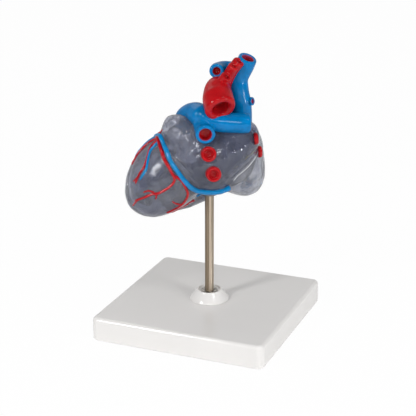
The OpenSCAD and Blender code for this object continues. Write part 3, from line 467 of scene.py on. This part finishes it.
# the camera stands where the base's corners in the picture put it; the columns of its turn are right, up and back
camera = bpy.data.objects.new("camera", bpy.data.cameras.new("camera"))
bpy.context.scene.collection.objects.link(camera)
view_axes = Matrix(((-0.3766, -0.3082, 0.8736), (0.9264, -0.1253, 0.3551), (0.0, 0.9430, 0.3327)))
camera.matrix_world = Matrix.Translation((0.7294, 0.2955, 0.3584)) @ view_axes.to_4x4()
camera.data.lens, camera.data.sensor_width = 108.57, 36
camera.data.clip_end = 20
bpy.context.scene.camera = camera
bpy.context.scene.view_settings.view_transform = "Standard"


def seen_white(tree, reflected):
    """1 for rays from the camera or through the plastic, less for what gloss reflects, 0 for the rest."""
    path = add(tree, "ShaderNodeLightPath").outputs
    straight = add(tree, "ShaderNodeMath", {0: path["Is Camera Ray"], 1: path["Is Transmission Ray"]},
                   operation="MAXIMUM")
    glossy = add(tree, "ShaderNodeMath", {0: path["Is Glossy Ray"], 1: reflected}, operation="MULTIPLY")
    return add(tree, "ShaderNodeMath", {0: straight, 1: glossy}, operation="MAXIMUM")


# the studio: a white sweep behind the model, a dim room in front of it, a dim ceiling and a bright horizon
world = bpy.data.worlds.new("studio")
world.use_nodes = True
studio = world.node_tree
studio.nodes.clear()
way = add(studio, "ShaderNodeTexCoord").outputs["Generated"]
behind = add(studio, "ShaderNodeVectorMath", {0: way, 1: (-0.87, -0.36, 0.15)}, operation="DOT_PRODUCT")
sweep = add(studio, "ShaderNodeMapRange", {"Value": behind.outputs["Value"], "From Min": 0.1, "From Max": 0.8,
                                           "To Min": 0.02, "To Max": 0.55})
height = add(studio, "ShaderNodeSeparateXYZ", {0: way}).outputs[2]
room = add(studio, "ShaderNodeMapRange", {"Value": height, "From Min": 0.0, "From Max": 0.8,
                                          "To Min": 0.45, "To Max": 0.25})
seen = seen_white(studio, sweep)
strength = add(studio, "ShaderNodeMath", {0: seen, 1: room}, operation="MAXIMUM")
is_gloss = add(studio, "ShaderNodeLightPath").outputs["Is Glossy Ray"]
strength = add(studio, "ShaderNodeMix", {"Factor": is_gloss, "A": strength, "B": seen})
sky = add(studio, "ShaderNodeBackground", {"Color": (1, 1, 1, 1), "Strength": strength})
add(studio, "ShaderNodeOutputWorld", {"Surface": sky})
bpy.context.scene.world = world

paper = bpy.data.materials.new("white_paper_sweep")
paper.use_nodes = True
sheet = paper.node_tree
sheet.nodes.clear()
matte = add(sheet, "ShaderNodeBsdfDiffuse", {"Color": linear("#FAFAFA")})
glow = add(sheet, "ShaderNodeEmission", {"Color": (1, 1, 1, 1), "Strength": 1.0})
share = add(sheet, "ShaderNodeMath", {0: seen_white(sheet, 0.15), 1: 0.975}, operation="MULTIPLY")
lit = add(sheet, "ShaderNodeMixShader", {0: share, 1: matte, 2: glow})
add(sheet, "ShaderNodeOutputMaterial", {"Surface": lit})
floor = bpy.data.objects.new("floor", bpy.data.meshes.new("floor"))
floor.data.from_pydata([(-5, -5, 0), (5, -5, 0), (5, 5, 0), (-5, 5, 0)], [], [(0, 1, 2, 3)])
floor.data.materials.append(paper)
bpy.context.scene.collection.objects.link(floor)


def softbox(name, azimuth, elevation, distance, width, height, energy, mirrored=True):
    """Area lamp aimed at the model; one that isn't mirrored leaves no highlight on gloss."""
    lamp = bpy.data.objects.new(name, bpy.data.lights.new(name, "AREA"))
    lamp.data.shape, lamp.data.size, lamp.data.size_y, lamp.data.energy = "RECTANGLE", width, height, energy
    a, e = math.radians(azimuth), math.radians(elevation)
    way = Vector((math.sin(a) * math.cos(e), -math.cos(a) * math.cos(e), math.sin(e)))
    lamp.location = Vector((0, 0, 0.1)) + way * distance
    lamp.rotation_mode = "QUATERNION"
    lamp.rotation_quaternion = way.to_track_quat("Z", "Y")
    lamp.visible_glossy = mirrored
    bpy.context.scene.collection.objects.link(lamp)


softbox("left_softbox", 62, 28, 1.0, 0.17, 0.26, 4.2)
softbox("front_softbox", 114, 27, 1.2, 0.32, 0.2, 2.5)
softbox("right_strip", 168, -2, 0.8, 0.05, 0.12, 0.8)
softbox("right_spot", 158, 54, 1.1, 0.14, 0.1, 0.9)
softbox("right_softbox", 163, 22, 1.05, 0.5, 0.6, 3.2, mirrored=False)
softbox("back_softbox", -40, 40, 1.2, 0.8, 0.5, 1.2)

# ---------- shells ----------

SOCKET_D = 11.0


def heart_shell(name, rear, replaces):
    """One shell of even wall: the outer face, the inner face, and the seam's edge between them."""
    bm = bmesh.new()
    bmesh.ops.create_icosphere(bm, subdivisions=7, radius=1)
    gap_turn = math.degrees(SEAM_GAP / 2 / SEAM_R)
    cut = math.cos(math.radians(FRONT_ANGLE + (gap_turn if rear else -gap_turn)))
    pole = Vector(FRONT_POLE)
    bmesh.ops.bisect_plane(bm, geom=bm.verts[:] + bm.edges[:] + bm.faces[:], dist=1e-5, plane_co=pole * cut,
                           plane_no=pole * (1 if rear else -1), clear_outer=True)
    bmesh.ops.dissolve_degenerate(bm, edges=bm.edges[:], dist=1e-4)
    bmesh.ops.triangulate(bm, faces=bm.faces[:])
    w = unit(np.array([v.co[:] for v in bm.verts]))
    outer = on_heart(w)
    if rear:    # the mouth of the socket for the post
        off = outer[:, :2] - POST_AT
        away = np.linalg.norm(off, axis=1)
        bm.verts.ensure_lookup_table()
        gone = [bm.verts[i] for i in np.flatnonzero((away < SOCKET_D / 2) & (outer[:, 2] < 0))]
        bmesh.ops.delete(bm, geom=gone, context="VERTS")
        bm.verts.index_update()
        w = unit(np.array([v.co[:] for v in bm.verts]))
        outer = on_heart(w)
        rim = np.array([v.index for v in bm.verts if v.is_boundary and outer[v.index][2] < 0
                        and np.linalg.norm(outer[v.index][:2] - POST_AT) < 8])
        for _ in range(6):
            off = outer[rim, :2] - POST_AT
            target = outer[rim].copy()
            target[:, :2] = POST_AT + off / np.linalg.norm(off, axis=1)[:, None] * (SOCKET_D / 2 + 0.02)
            w[rim] = unit(target)
            outer[rim] = on_heart(w[rim])
    reach = heart_r(w)
    p = w * reach[:, None]
    calm = np.clip((np.abs(seam_tilt(w) - FRONT_ANGLE) - 1) / 6, 0, 1)
    inner = w * (reach - SHELL_WALL + calm * (0.9 * grain(p, 9, 70.1) + 0.55 * grain(p, 4.2, 80.3)))[:, None]
    n = len(w)
    faces = [tuple(v.index for v in f.verts) for f in bm.faces]
    bm.free()
    directed = {(a, b) for f in faces for a, b in zip(f, f[1:] + f[:1])}
    walls = [(b, a, a + n, b + n) for a, b in directed if (b, a) not in directed]
    # the smoke is the plastic's own tint; its strength chamber by chamber is partly painted shade
    milk, smoke, satin = [chamber_mix(w, column) for column in (4, 6, 7)]
    two = np.stack([egg_reach(w, *CHAMBERS[c][:4]) for c in ("left_atrium", "right_atrium")], 1)
    others = np.max(np.stack([egg_reach(w, *c[:4]) for k, c in CHAMBERS.items() if not k.endswith("atrium")], 1), 1)
    # painted highlight: a pale, milkier line along the crease where the two atria meet
    crease_highlight = 2.0 * np.exp(-((two[:, 0] - two[:, 1]) / 0.55) ** 2) * (two.max(1) > others - 1)
    faces += [tuple(i + n for i in f[::-1]) for f in faces]
    return make_piece(name, on_stand(np.vstack([outer, inner])), faces + sorted(walls),
                      "heart" if rear else "front_wall", STYRENE, replaces,
                      marks={"milk": np.tile(milk, 2), "smoke": np.tile(smoke, 2), "crease_highlight": np.tile(crease_highlight, 2),
                             "satin": np.tile(satin, 2)})


heart_shell("rear_heart_shell_skin", True, ["rear_heart_shell"])
heart_shell("front_heart_wall_skin", False, ["front_heart_wall"])

# ---------- the great vessels ----------

ARCH_BACK, ARCH_MIDDLE, ARCH_FRONT = [-1, 17, 53.5], [-6, 14.5, 53.5], [-10.5, 11, 53]
FORK = np.array([10.5, 12, 34.0])


def root_at(w):
    w = unit(w)
    return w * (heart_r(w[None])[0] - SHELL_WALL)


cast_tree("aorta_and_branches", [
    vessel([root_at([-6, -12, 26]), [-12.3, -5, 32], [-12.4, 0.3, 42], [-8.2, 8.3, 49.6], [-0.5, 14.5, 51],
            [3.0, 18.5, 47.4], [4.9, 23.2, 43.6], [6.6, 27.2, 40.8]], 20.4, 11, 13.6, (0.62, 0.88),
           mouth=[0.2, 0.82, -0.53], depth=9, sides=56, seed=2.0),
    vessel([ARCH_FRONT, [-12.5, 14, 60.5], [-14.1, 19.6, 68]], 7.6, 3.0, depth=1.7, uneven=0.06, seed=3.0),
    vessel([ARCH_MIDDLE, [-7, 17.5, 60], [-8.2, 21.4, 66.2]], 6.8, 2.8, depth=1.7, uneven=0.06, seed=4.0),
    vessel([ARCH_BACK, [-1.2, 19.5, 57.5], [-1.9, 22.2, 60.5]], 7, 3.2, depth=2.0, uneven=0.06, seed=5.0),
], RED, ["aorta", "brachiocephalic_trunk", "left_common_carotid_artery", "left_subclavian_artery"])

cast_tree("pulmonary_arteries", [
    vessel([root_at([8, -12, 24]), [8.6, -5.3, 29.8], [8.9, 3.5, 33.6], FORK], 15, 0, seed=6.0),
    vessel([FORK + [0, -2, 1], [11, 14, 29], [13, 18.3, 25.6], [16.1, 23.1, 24.9]], 12.6, 8, depth=5.5, seed=7.0),
    vessel([FORK + [-1, 1, -1.5], [3, 19.8, 30.6], [-3, 24.4, 30], [-8.6, 28.7, 29.7], [-13.3, 31.2, 29.6]],
           13, 8, seed=8.0),
], BLUE, ["pulmonary_trunk", "left_pulmonary_artery", "right_pulmonary_artery"])

CAVA = [root_at([-25, 14.5, 27]), [-20.2, 14.5, 37], [-18.5, 13.8, 47], [-18.8, 13.2, 55], [-21.2, 16, 63],
        [-22, 18.7, 69]]
cast_tree("superior_vena_cava_and_branches", [
    vessel(CAVA, 12.2, 7.8, 13.8, depth=6, seed=9.0),
    vessel([np.add(CAVA[4], [2, -3, -3]), [-15, 5, 60.5], [-6.6, 7, 61.2], [-0.7, 13, 62]], 9.4, 4.9, seed=10.0),
    vessel([np.add(CAVA[2], [-1, 0.2, -8]), [-21.9, 17.5, 39.6], [-23.8, 22, 40.4]], 5.6, 3.2, depth=3, seed=11.0),
], BLUE, ["superior_vena_cava", "left_brachiocephalic_vein", "azygos_vein"])

cava_root = root_at([-26, 4, -15])
cast_tree("inferior_vena_cava_stub", [
    vessel([cava_root, cava_root + [-2.5, -1, -4], cava_root + [-4.5, -1.5, -8]], 12, 8.4, root_flare=0.6, seed=12.0),
], BLUE, ["inferior_vena_cava"])


def lung_vein(name, angles, way, d, stand_out, seed):
    """Ringed stub on an atrium: thick rolled lip, a step inside it, and a dark blind middle."""
    root = on_heart(from_angles(angles), -SHELL_WALL / 2)[0]
    r, h = d / 2, SHELL_WALL / 2 + stand_out
    bore, blind = 2.3, max(h - 3.0, 0.7)
    profile = [(0.01, 0.2), (r + 0.15, 0.2), (r + 0.12, SHELL_WALL / 2),
               (r + 0.05, SHELL_WALL / 2 + 0.5 * (stand_out - 1)), (r, h - 1.1)]
    profile += [(r - 1.0 + 1.0 * math.cos(math.radians(a)), h - 1.0 + 1.0 * math.sin(math.radians(a)))
                for a in range(0, 151, 25)]
    if d > 8:    # a narrow stub's lip closes over the step
        profile += [(bore + 0.85, h - 1.5), (bore + 0.65, h - 1.45), (bore + 0.4, h - 0.9), (bore + 0.15, h - 0.85)]
    profile += [(bore, h - 1.3), (bore * 0.9, blind + 0.4), (bore * 0.6, blind), (0.01, blind + 0.3)]
    points, faces = turned(profile, root, way, [1, 0, 0], 56, 0.035, seed)
    z = unit(way)
    off = points - root
    along = off @ z
    away = np.linalg.norm(off - along[:, None] * z, axis=1)
    lumen = np.clip((bore + 0.1 - away) / 0.2, 0, 1) * (along > h - 3.4)
    make_piece(name + "_stub", on_stand(points), faces, "heart", RED, [name], marks={"lumen": lumen})


lung_vein("left_superior_pulmonary_vein", [59, 24], [0.5, 0.8, 0.25], 9.8, 4, 1.0)
lung_vein("left_inferior_pulmonary_vein", [65, -2], [0.45, 0.85, 0.05], 9.8, 4, 2.0)
lung_vein("right_superior_pulmonary_vein", [121, 27], [-0.84, 0.52, 0.12], 7.6, 1.6, 3.0)
lung_vein("right_inferior_pulmonary_vein", [140, 9], [-0.87, 0.48, 0.05], 7.6, 1.6, 4.0)

# ---------- vessels of the heart wall, as longitudes and latitudes ----------

GROOVE = [[-26, 29], [-20, 31.5], [-9, 33], [1, 26], [15, 9], [23, -1], [31, -14], [38, -25], [46, -33], [55, -39],
          [66, -43], [78, -44], [90, -43], [100, -40], [108, -36]]
DESCENDING = [[-105, 18], [-97, 7], [-88, -4], [-78, -14], [-67, -23], [-58, -31], [-49, -40]]
RIGHT_GROOVE = [[-120, 36], [-126, 22], [-132, 5], [-140, -12], [-150, -24], [-160, -32], [-170, -39], [-180, -47],
                [167, -54]]
MAIN, BRANCH, TWIG, VEIN = 2.6, 1.9, 1.4, 2.0     # bead widths

# paint and side of the seam (1 rear, -1 front wall); then each run's points, its width, and the share left at its end
WALL_VESSELS = {
    "great_cardiac_vein": ("blue", 1, [
        (GROOVE, 2.5, 1.68), ([[-22, 31], [-27, 27.5], [-31.5, 21], [-32.5, 13], [-32, 6], [-30.5, 1]], 1.9, 0.7)]),
    "circumflex_artery": ("red", 1, [([[-20, 31], [-10, 28], [-1, 21], [6, 13], [13, 5], [20, -6]], MAIN, 0.75)]),
    "upper_marginal_artery": ("red", 1, [
        ([[18, -3], [19, -9], [15, -15], [7, -19], [2, -19], [-4, -21], [-11, -23]], BRANCH, 0.75),
        ([[4, -18], [0, -16], [-4, -17]], TWIG, 0.6), ([[4, -18], [5, -21], [4, -24]], TWIG, 0.6),
        ([[-8, -22], [-12, -25], [-16, -28]], TWIG, 0.6)]),
    "lower_marginal_artery": ("red", 1, [
        ([[19, -4], [26, -11], [30, -26], [27, -37], [18, -45], [9, -46], [2, -44]], BRANCH, 0.75),
        ([[16, -45], [15, -38], [14, -32]], TWIG, 0.6)]),
    "diagonal_artery": ("red", 1, [
        ([[-11, 28], [-17, 22], [-12, 12], [-9, 3], [-10, -4], [-11, -11]], BRANCH, 0.7),
        ([[-10, -5], [-12, -8], [-14, -10]], TWIG, 0.6)]),
    "diagonal_vein": ("blue", 1, [([[-9, 29], [-12, 22], [-12.5, 16], [-9, 8], [-6, 0], [-8, -8]], VEIN, 0.7)]),
    "left_anterior_descending_artery": ("red", 1, [
        ([[-17, 36], [-18, 30], [-27, 22], [-28, 13], [-28, 5], [-27, -1]], BRANCH, 0.7),
        ([[-16, 33], [-11, 37], [-7, 39]], TWIG, 0.6)]),
    "anterior_interventricular_artery": ("red", -1, [(DESCENDING, BRANCH, 0.75)]),
    "anterior_interventricular_vein": ("blue", -1, [([[a + 5, b + 4] for a, b in DESCENDING], VEIN, 0.75)]),
    "right_coronary_artery": ("red", 1, [(RIGHT_GROOVE, MAIN, 0.75)]),
    "right_marginal_artery": ("red", -1, [
        ([[-128, -12], [-112, -24], [-96, -36], [-78, -46], [-60, -50]], BRANCH, 0.75)]),
    "posterior_descending_artery": ("red", 1, [([[6, -73], [2, -69], [-3, -64], [-7, -59], [-10, -54]], TWIG, 0.8)]),
    "middle_cardiac_vein": ("blue", 1, [([[58, -49], [50, -56], [40, -61], [30, -62]], VEIN, 0.7)]),
}


def wall_vessel_tree():
    """Rule for a raised vessel: a line with a thickness becomes a round bead with closed ends."""
    tree = bpy.data.node_groups.new("wall_vessel", "GeometryNodeTree")
    for name, kind in (("Line", "NodeSocketGeometry"), ("Bead sides", "NodeSocketInt"),
                       ("Step length", "NodeSocketFloat"), ("Paint", "NodeSocketMaterial")):
        tree.interface.new_socket(name, in_out="INPUT", socket_type=kind)
    tree.interface.new_socket("Vessel", in_out="OUTPUT", socket_type="NodeSocketGeometry")
    given = add(tree, "NodeGroupInput").outputs
    thick = add(tree, "GeometryNodeInputNamedAttribute", {"Name": "thickness"}, data_type="FLOAT")
    line = add(tree, "GeometryNodeMeshToCurve", {"Mesh": given["Line"]})
    line = add(tree, "GeometryNodeResampleCurve", {"Curve": line, "Length": given["Step length"]}, mode="LENGTH")
    bead = add(tree, "GeometryNodeCurvePrimitiveCircle", {"Resolution": given["Bead sides"], "Radius": 1.0})
    tube = add(tree, "GeometryNodeCurveToMesh", {"Curve": line, "Profile Curve": bead, "Scale": thick,
                                                 "Fill Caps": True})
    smooth = add(tree, "GeometryNodeSetShadeSmooth", {"Geometry": tube, "Shade Smooth": True})
    real = add(tree, "GeometryNodeRealizeInstances", {"Geometry": smooth})
    painted = add(tree, "GeometryNodeSetMaterial", {"Geometry": real, "Material": given["Paint"]})
    add(tree, "NodeGroupOutput", {"Vessel": painted})
    return tree


def socket_id(tree, name):
    return next(s.identifier for s in tree.interface.items_tree if s.name == name and s.in_out == "INPUT")


def wall_vessel(tree, name, paint, part, runs):
    points, edges, thickness = [], [], []
    for angles, d, thin in runs:
        line = curve(on_heart(from_angles(angles)), 10)
        line = on_heart(unit(line), d / 2 - RELIEF_SINK)
        line = line[part * (seam_tilt(line) - FRONT_ANGLE) > 1.0]
        share = np.linspace(0, 1, len(line))
        wave = np.array([noise.noise(Vector(q) / 3.0) for q in line])
        size = d / 2 * (1 + (thin - 1) * share) * (1 + 0.14 * wave)
        ends = np.minimum(np.arange(len(line)), np.arange(len(line))[::-1])
        size = size * np.sqrt(np.clip((ends + 0.15) / 2.5, 0, 1))
        edges += [(len(points) + i, len(points) + i + 1) for i in range(len(line) - 1)]
        points += list(on_stand(line))
        thickness += list(size * MM)
    mesh = bpy.data.meshes.new(name + "_line")
    mesh.from_pydata([tuple(q) for q in points], edges, [])
    mesh.attributes.new("thickness", "FLOAT", "POINT").data.foreach_set("value", np.array(thickness, np.float32))
    line = bpy.data.objects.new(name + "_line", mesh)
    bpy.context.scene.collection.objects.link(line)
    rule = line.modifiers.new("wall_vessel", "NODES")
    rule.node_group = tree
    rule[socket_id(tree, "Bead sides")] = 14
    rule[socket_id(tree, "Step length")] = 0.5 * MM
    rule[socket_id(tree, "Paint")] = RED_WALL if paint == "red" else BLUE_WALL
    bpy.context.view_layer.update()
    solid = bpy.data.meshes.new_from_object(line.evaluated_get(bpy.context.evaluated_depsgraph_get()))
    bm = bmesh.new()
    bm.from_mesh(solid)
    bmesh.ops.remove_doubles(bm, verts=bm.verts[:], dist=1e-6)
    bmesh.ops.recalc_face_normals(bm, faces=bm.faces[:])
    bm.to_mesh(solid)
    bm.free()
    bpy.data.objects.remove(line)
    solid.name = name + "_bead"
    piece = bpy.data.objects.new(name + "_bead", solid)
    bpy.context.scene.collection.objects.link(piece)
    finish_piece(piece, "heart" if part > 0 else "front_wall",
                 [name])


vessel_rule = wall_vessel_tree()
for name, (paint, part, runs) in WALL_VESSELS.items():
    wall_vessel(vessel_rule, name, paint, part, runs)

# ---------- stand ----------

BASE_W, BASE_H, CORNER_R, EDGE_R, BASE_WALL = 120.0, 15.8, 4.6, 2.6, 3.0
HOLE_R, BOSS_R, BOSS_DROP = 6.08, 11.0, 6.0
RIB_T, RIB_DROP, RIB_START = 2.0, 8.0, 10.5
DIAGONAL = 1.32           # a diagonal rib's length over a straight one's, up to the rounded corner
SINK = 0.3                # how far ribs and boss reach into the walls that carry them
ROUND_SIDES = 64


def square_ring(half, corner, z, per_corner=12):
    """Points round a square with rounded corners."""
    corner = max(corner, 0.05)
    points = []
    for quarter in range(4):
        middle = np.array([[1, 1], [-1, 1], [-1, -1], [1, -1]][quarter]) * (half - corner)
        for k in range(per_corner + 1):
            a = math.radians(90 * quarter + 90 * k / per_corner)
            points.append([middle[0] + corner * math.cos(a), middle[1] + corner * math.sin(a), z])
    return np.array(points)


def base_plate():
    half, deck = BASE_W / 2, BASE_H - BASE_WALL
    rings = [square_ring(half - BASE_WALL, CORNER_R - 1.0, deck), square_ring(half - BASE_WALL, CORNER_R - 1.0, 0.5),
             square_ring(half - BASE_WALL + 0.5, CORNER_R - 0.8, 0), square_ring(half - 0.6, CORNER_R - 0.6, 0),
             square_ring(half, CORNER_R, 0.6), square_ring(half, CORNER_R, BASE_H - EDGE_R)]
    rings += [square_ring(half - EDGE_R + EDGE_R * math.cos(a), CORNER_R - EDGE_R + EDGE_R * math.cos(a),
                          BASE_H - EDGE_R + EDGE_R * math.sin(a)) for a in np.radians(range(15, 91, 15))]
    n = len(rings[0])
    turn = np.arctan2(rings[-1][:, 1], rings[-1][:, 0])
    hole = np.stack([HOLE_R * np.cos(turn), HOLE_R * np.sin(turn), np.full(n, BASE_H)], 1)
    under = hole.copy()
    under[:, 2] = deck
    rings = [under] + rings + [hole, under]
    parts = [ring_rows(rings, closed=False)]
    inner = BASE_W - 2 * BASE_WALL
    for turn_deg, length in ((0, inner), (90, inner), (45, inner * DIAGONAL), (135, inner * DIAGONAL)):
        for side in (-1, 1):
            a = math.radians(turn_deg)
            run = np.array([math.cos(a), math.sin(a), 0.0])
            out = np.array([-math.sin(a), math.cos(a), 0.0])
            rib = [side * s * run + t * out + np.array([0, 0, z]) for s in (RIB_START, length / 2 + SINK)
                   for t in (-RIB_T / 2, RIB_T / 2) for z in (deck - RIB_DROP, deck + SINK)]
            parts.append((rib, [(0, 1, 3, 2), (4, 6, 7, 5), (0, 4, 5, 1), (2, 3, 7, 6), (0, 2, 6, 4), (1, 5, 7, 3)]))
    foot = deck - BOSS_DROP
    lathe = [(BOSS_R, deck + SINK), (BOSS_R, foot + 0.3), (BOSS_R - 0.3, foot), (HOLE_R + 0.32, foot),
             (HOLE_R, foot + 0.3), (HOLE_R, deck + SINK)]
    turns = np.linspace(0, 2 * math.pi, ROUND_SIDES, endpoint=False)
    boss = [np.stack([r * np.cos(turns), r * np.sin(turns), np.full(ROUND_SIDES, z)], 1) for r, z in lathe]
    parts.append(ring_rows(boss + [boss[0]], closed=False))
    points, faces = joined(parts)
    even_out(make_piece("base_plate_moulding", np.asarray(points) * MM, faces, "stand", WHITE,
                        ["base_plate"]))


def even_out(piece):
    """Merges doubles, turns the faces outwards and keeps the wide flats flat."""
    bm = bmesh.new()
    bm.from_mesh(piece.data)
    bmesh.ops.remove_doubles(bm, verts=bm.verts[:], dist=1e-6)
    bmesh.ops.recalc_face_normals(bm, faces=bm.faces[:])
    bm.to_mesh(piece.data)
    bm.free()
    weighted = piece.modifiers.new("even_flats", "WEIGHTED_NORMAL")
    weighted.keep_sharp = True
    for edge in piece.data.edges:
        edge.use_edge_sharp = False


base_plate()

COLLAR_TOP, COLLAR_FOOT_R, COLLAR_SIT = BASE_H + 7.0, 13.4, BASE_H + 0.02
LIP_AT, LIP_R = 8.05, 0.55
DISH_R, DISH_FLOOR = 7.3, COLLAR_TOP - 1.28
SPIGOT_R, SPIGOT_FOOT, POST_BORE_R = 5.98, 6.9, 3.12
collar_side = [(13.35 - 4.75 * k / 12, BASE_H + 0.5 + 6.0 * (k / 12) ** 0.82) for k in range(13)]
collar_lip = [(LIP_AT + LIP_R * math.cos(math.radians(a)), COLLAR_TOP - LIP_R + LIP_R * math.sin(math.radians(a)))
              for a in range(10, 171, 20)]
collar = [(POST_BORE_R, SPIGOT_FOOT), (SPIGOT_R, SPIGOT_FOOT), (SPIGOT_R, COLLAR_SIT),
          (COLLAR_FOOT_R - 0.2, COLLAR_SIT), (COLLAR_FOOT_R, BASE_H + 0.2)]
collar += collar_side + collar_lip + [(DISH_R + 0.15, DISH_FLOOR + 0.18), (DISH_R, DISH_FLOOR),
                                      (POST_BORE_R, DISH_FLOOR), (POST_BORE_R, SPIGOT_FOOT)]
points, faces = turned(collar, np.zeros(3), [0, 0, 1], [1, 0, 0], 96, capped=False)
even_out(make_piece("flared_post_collar", np.asarray(points) * MM, faces, "stand", WHITE,
                    ["post_collar"]))

# the solids that keep their own form take a finish only
nodes_kept = {
    "post": NICKEL, "upper_star_washer": SPRING, "lower_star_washer": SPRING,
    "post_socket": INNER_STYRENE, "peg_bosses": INNER_STYRENE, "locating_pegs": INNER_STYRENE,
    "ventricular_septum": INNER_STYRENE, "atrial_septum": INNER_STYRENE, "valve_plate": INNER_STYRENE,
    "papillary_muscles": INNER_STYRENE, "mitral_valve": CREAM, "tricuspid_valve": CREAM, "aortic_valve": CREAM,
    "pulmonary_valve": CREAM, "tendon_cords": CREAM, "conducting_system": YELLOW,
}
for name, finish in nodes_kept.items():
    for slot in nodes[name].material_slots:
        slot.material = finish
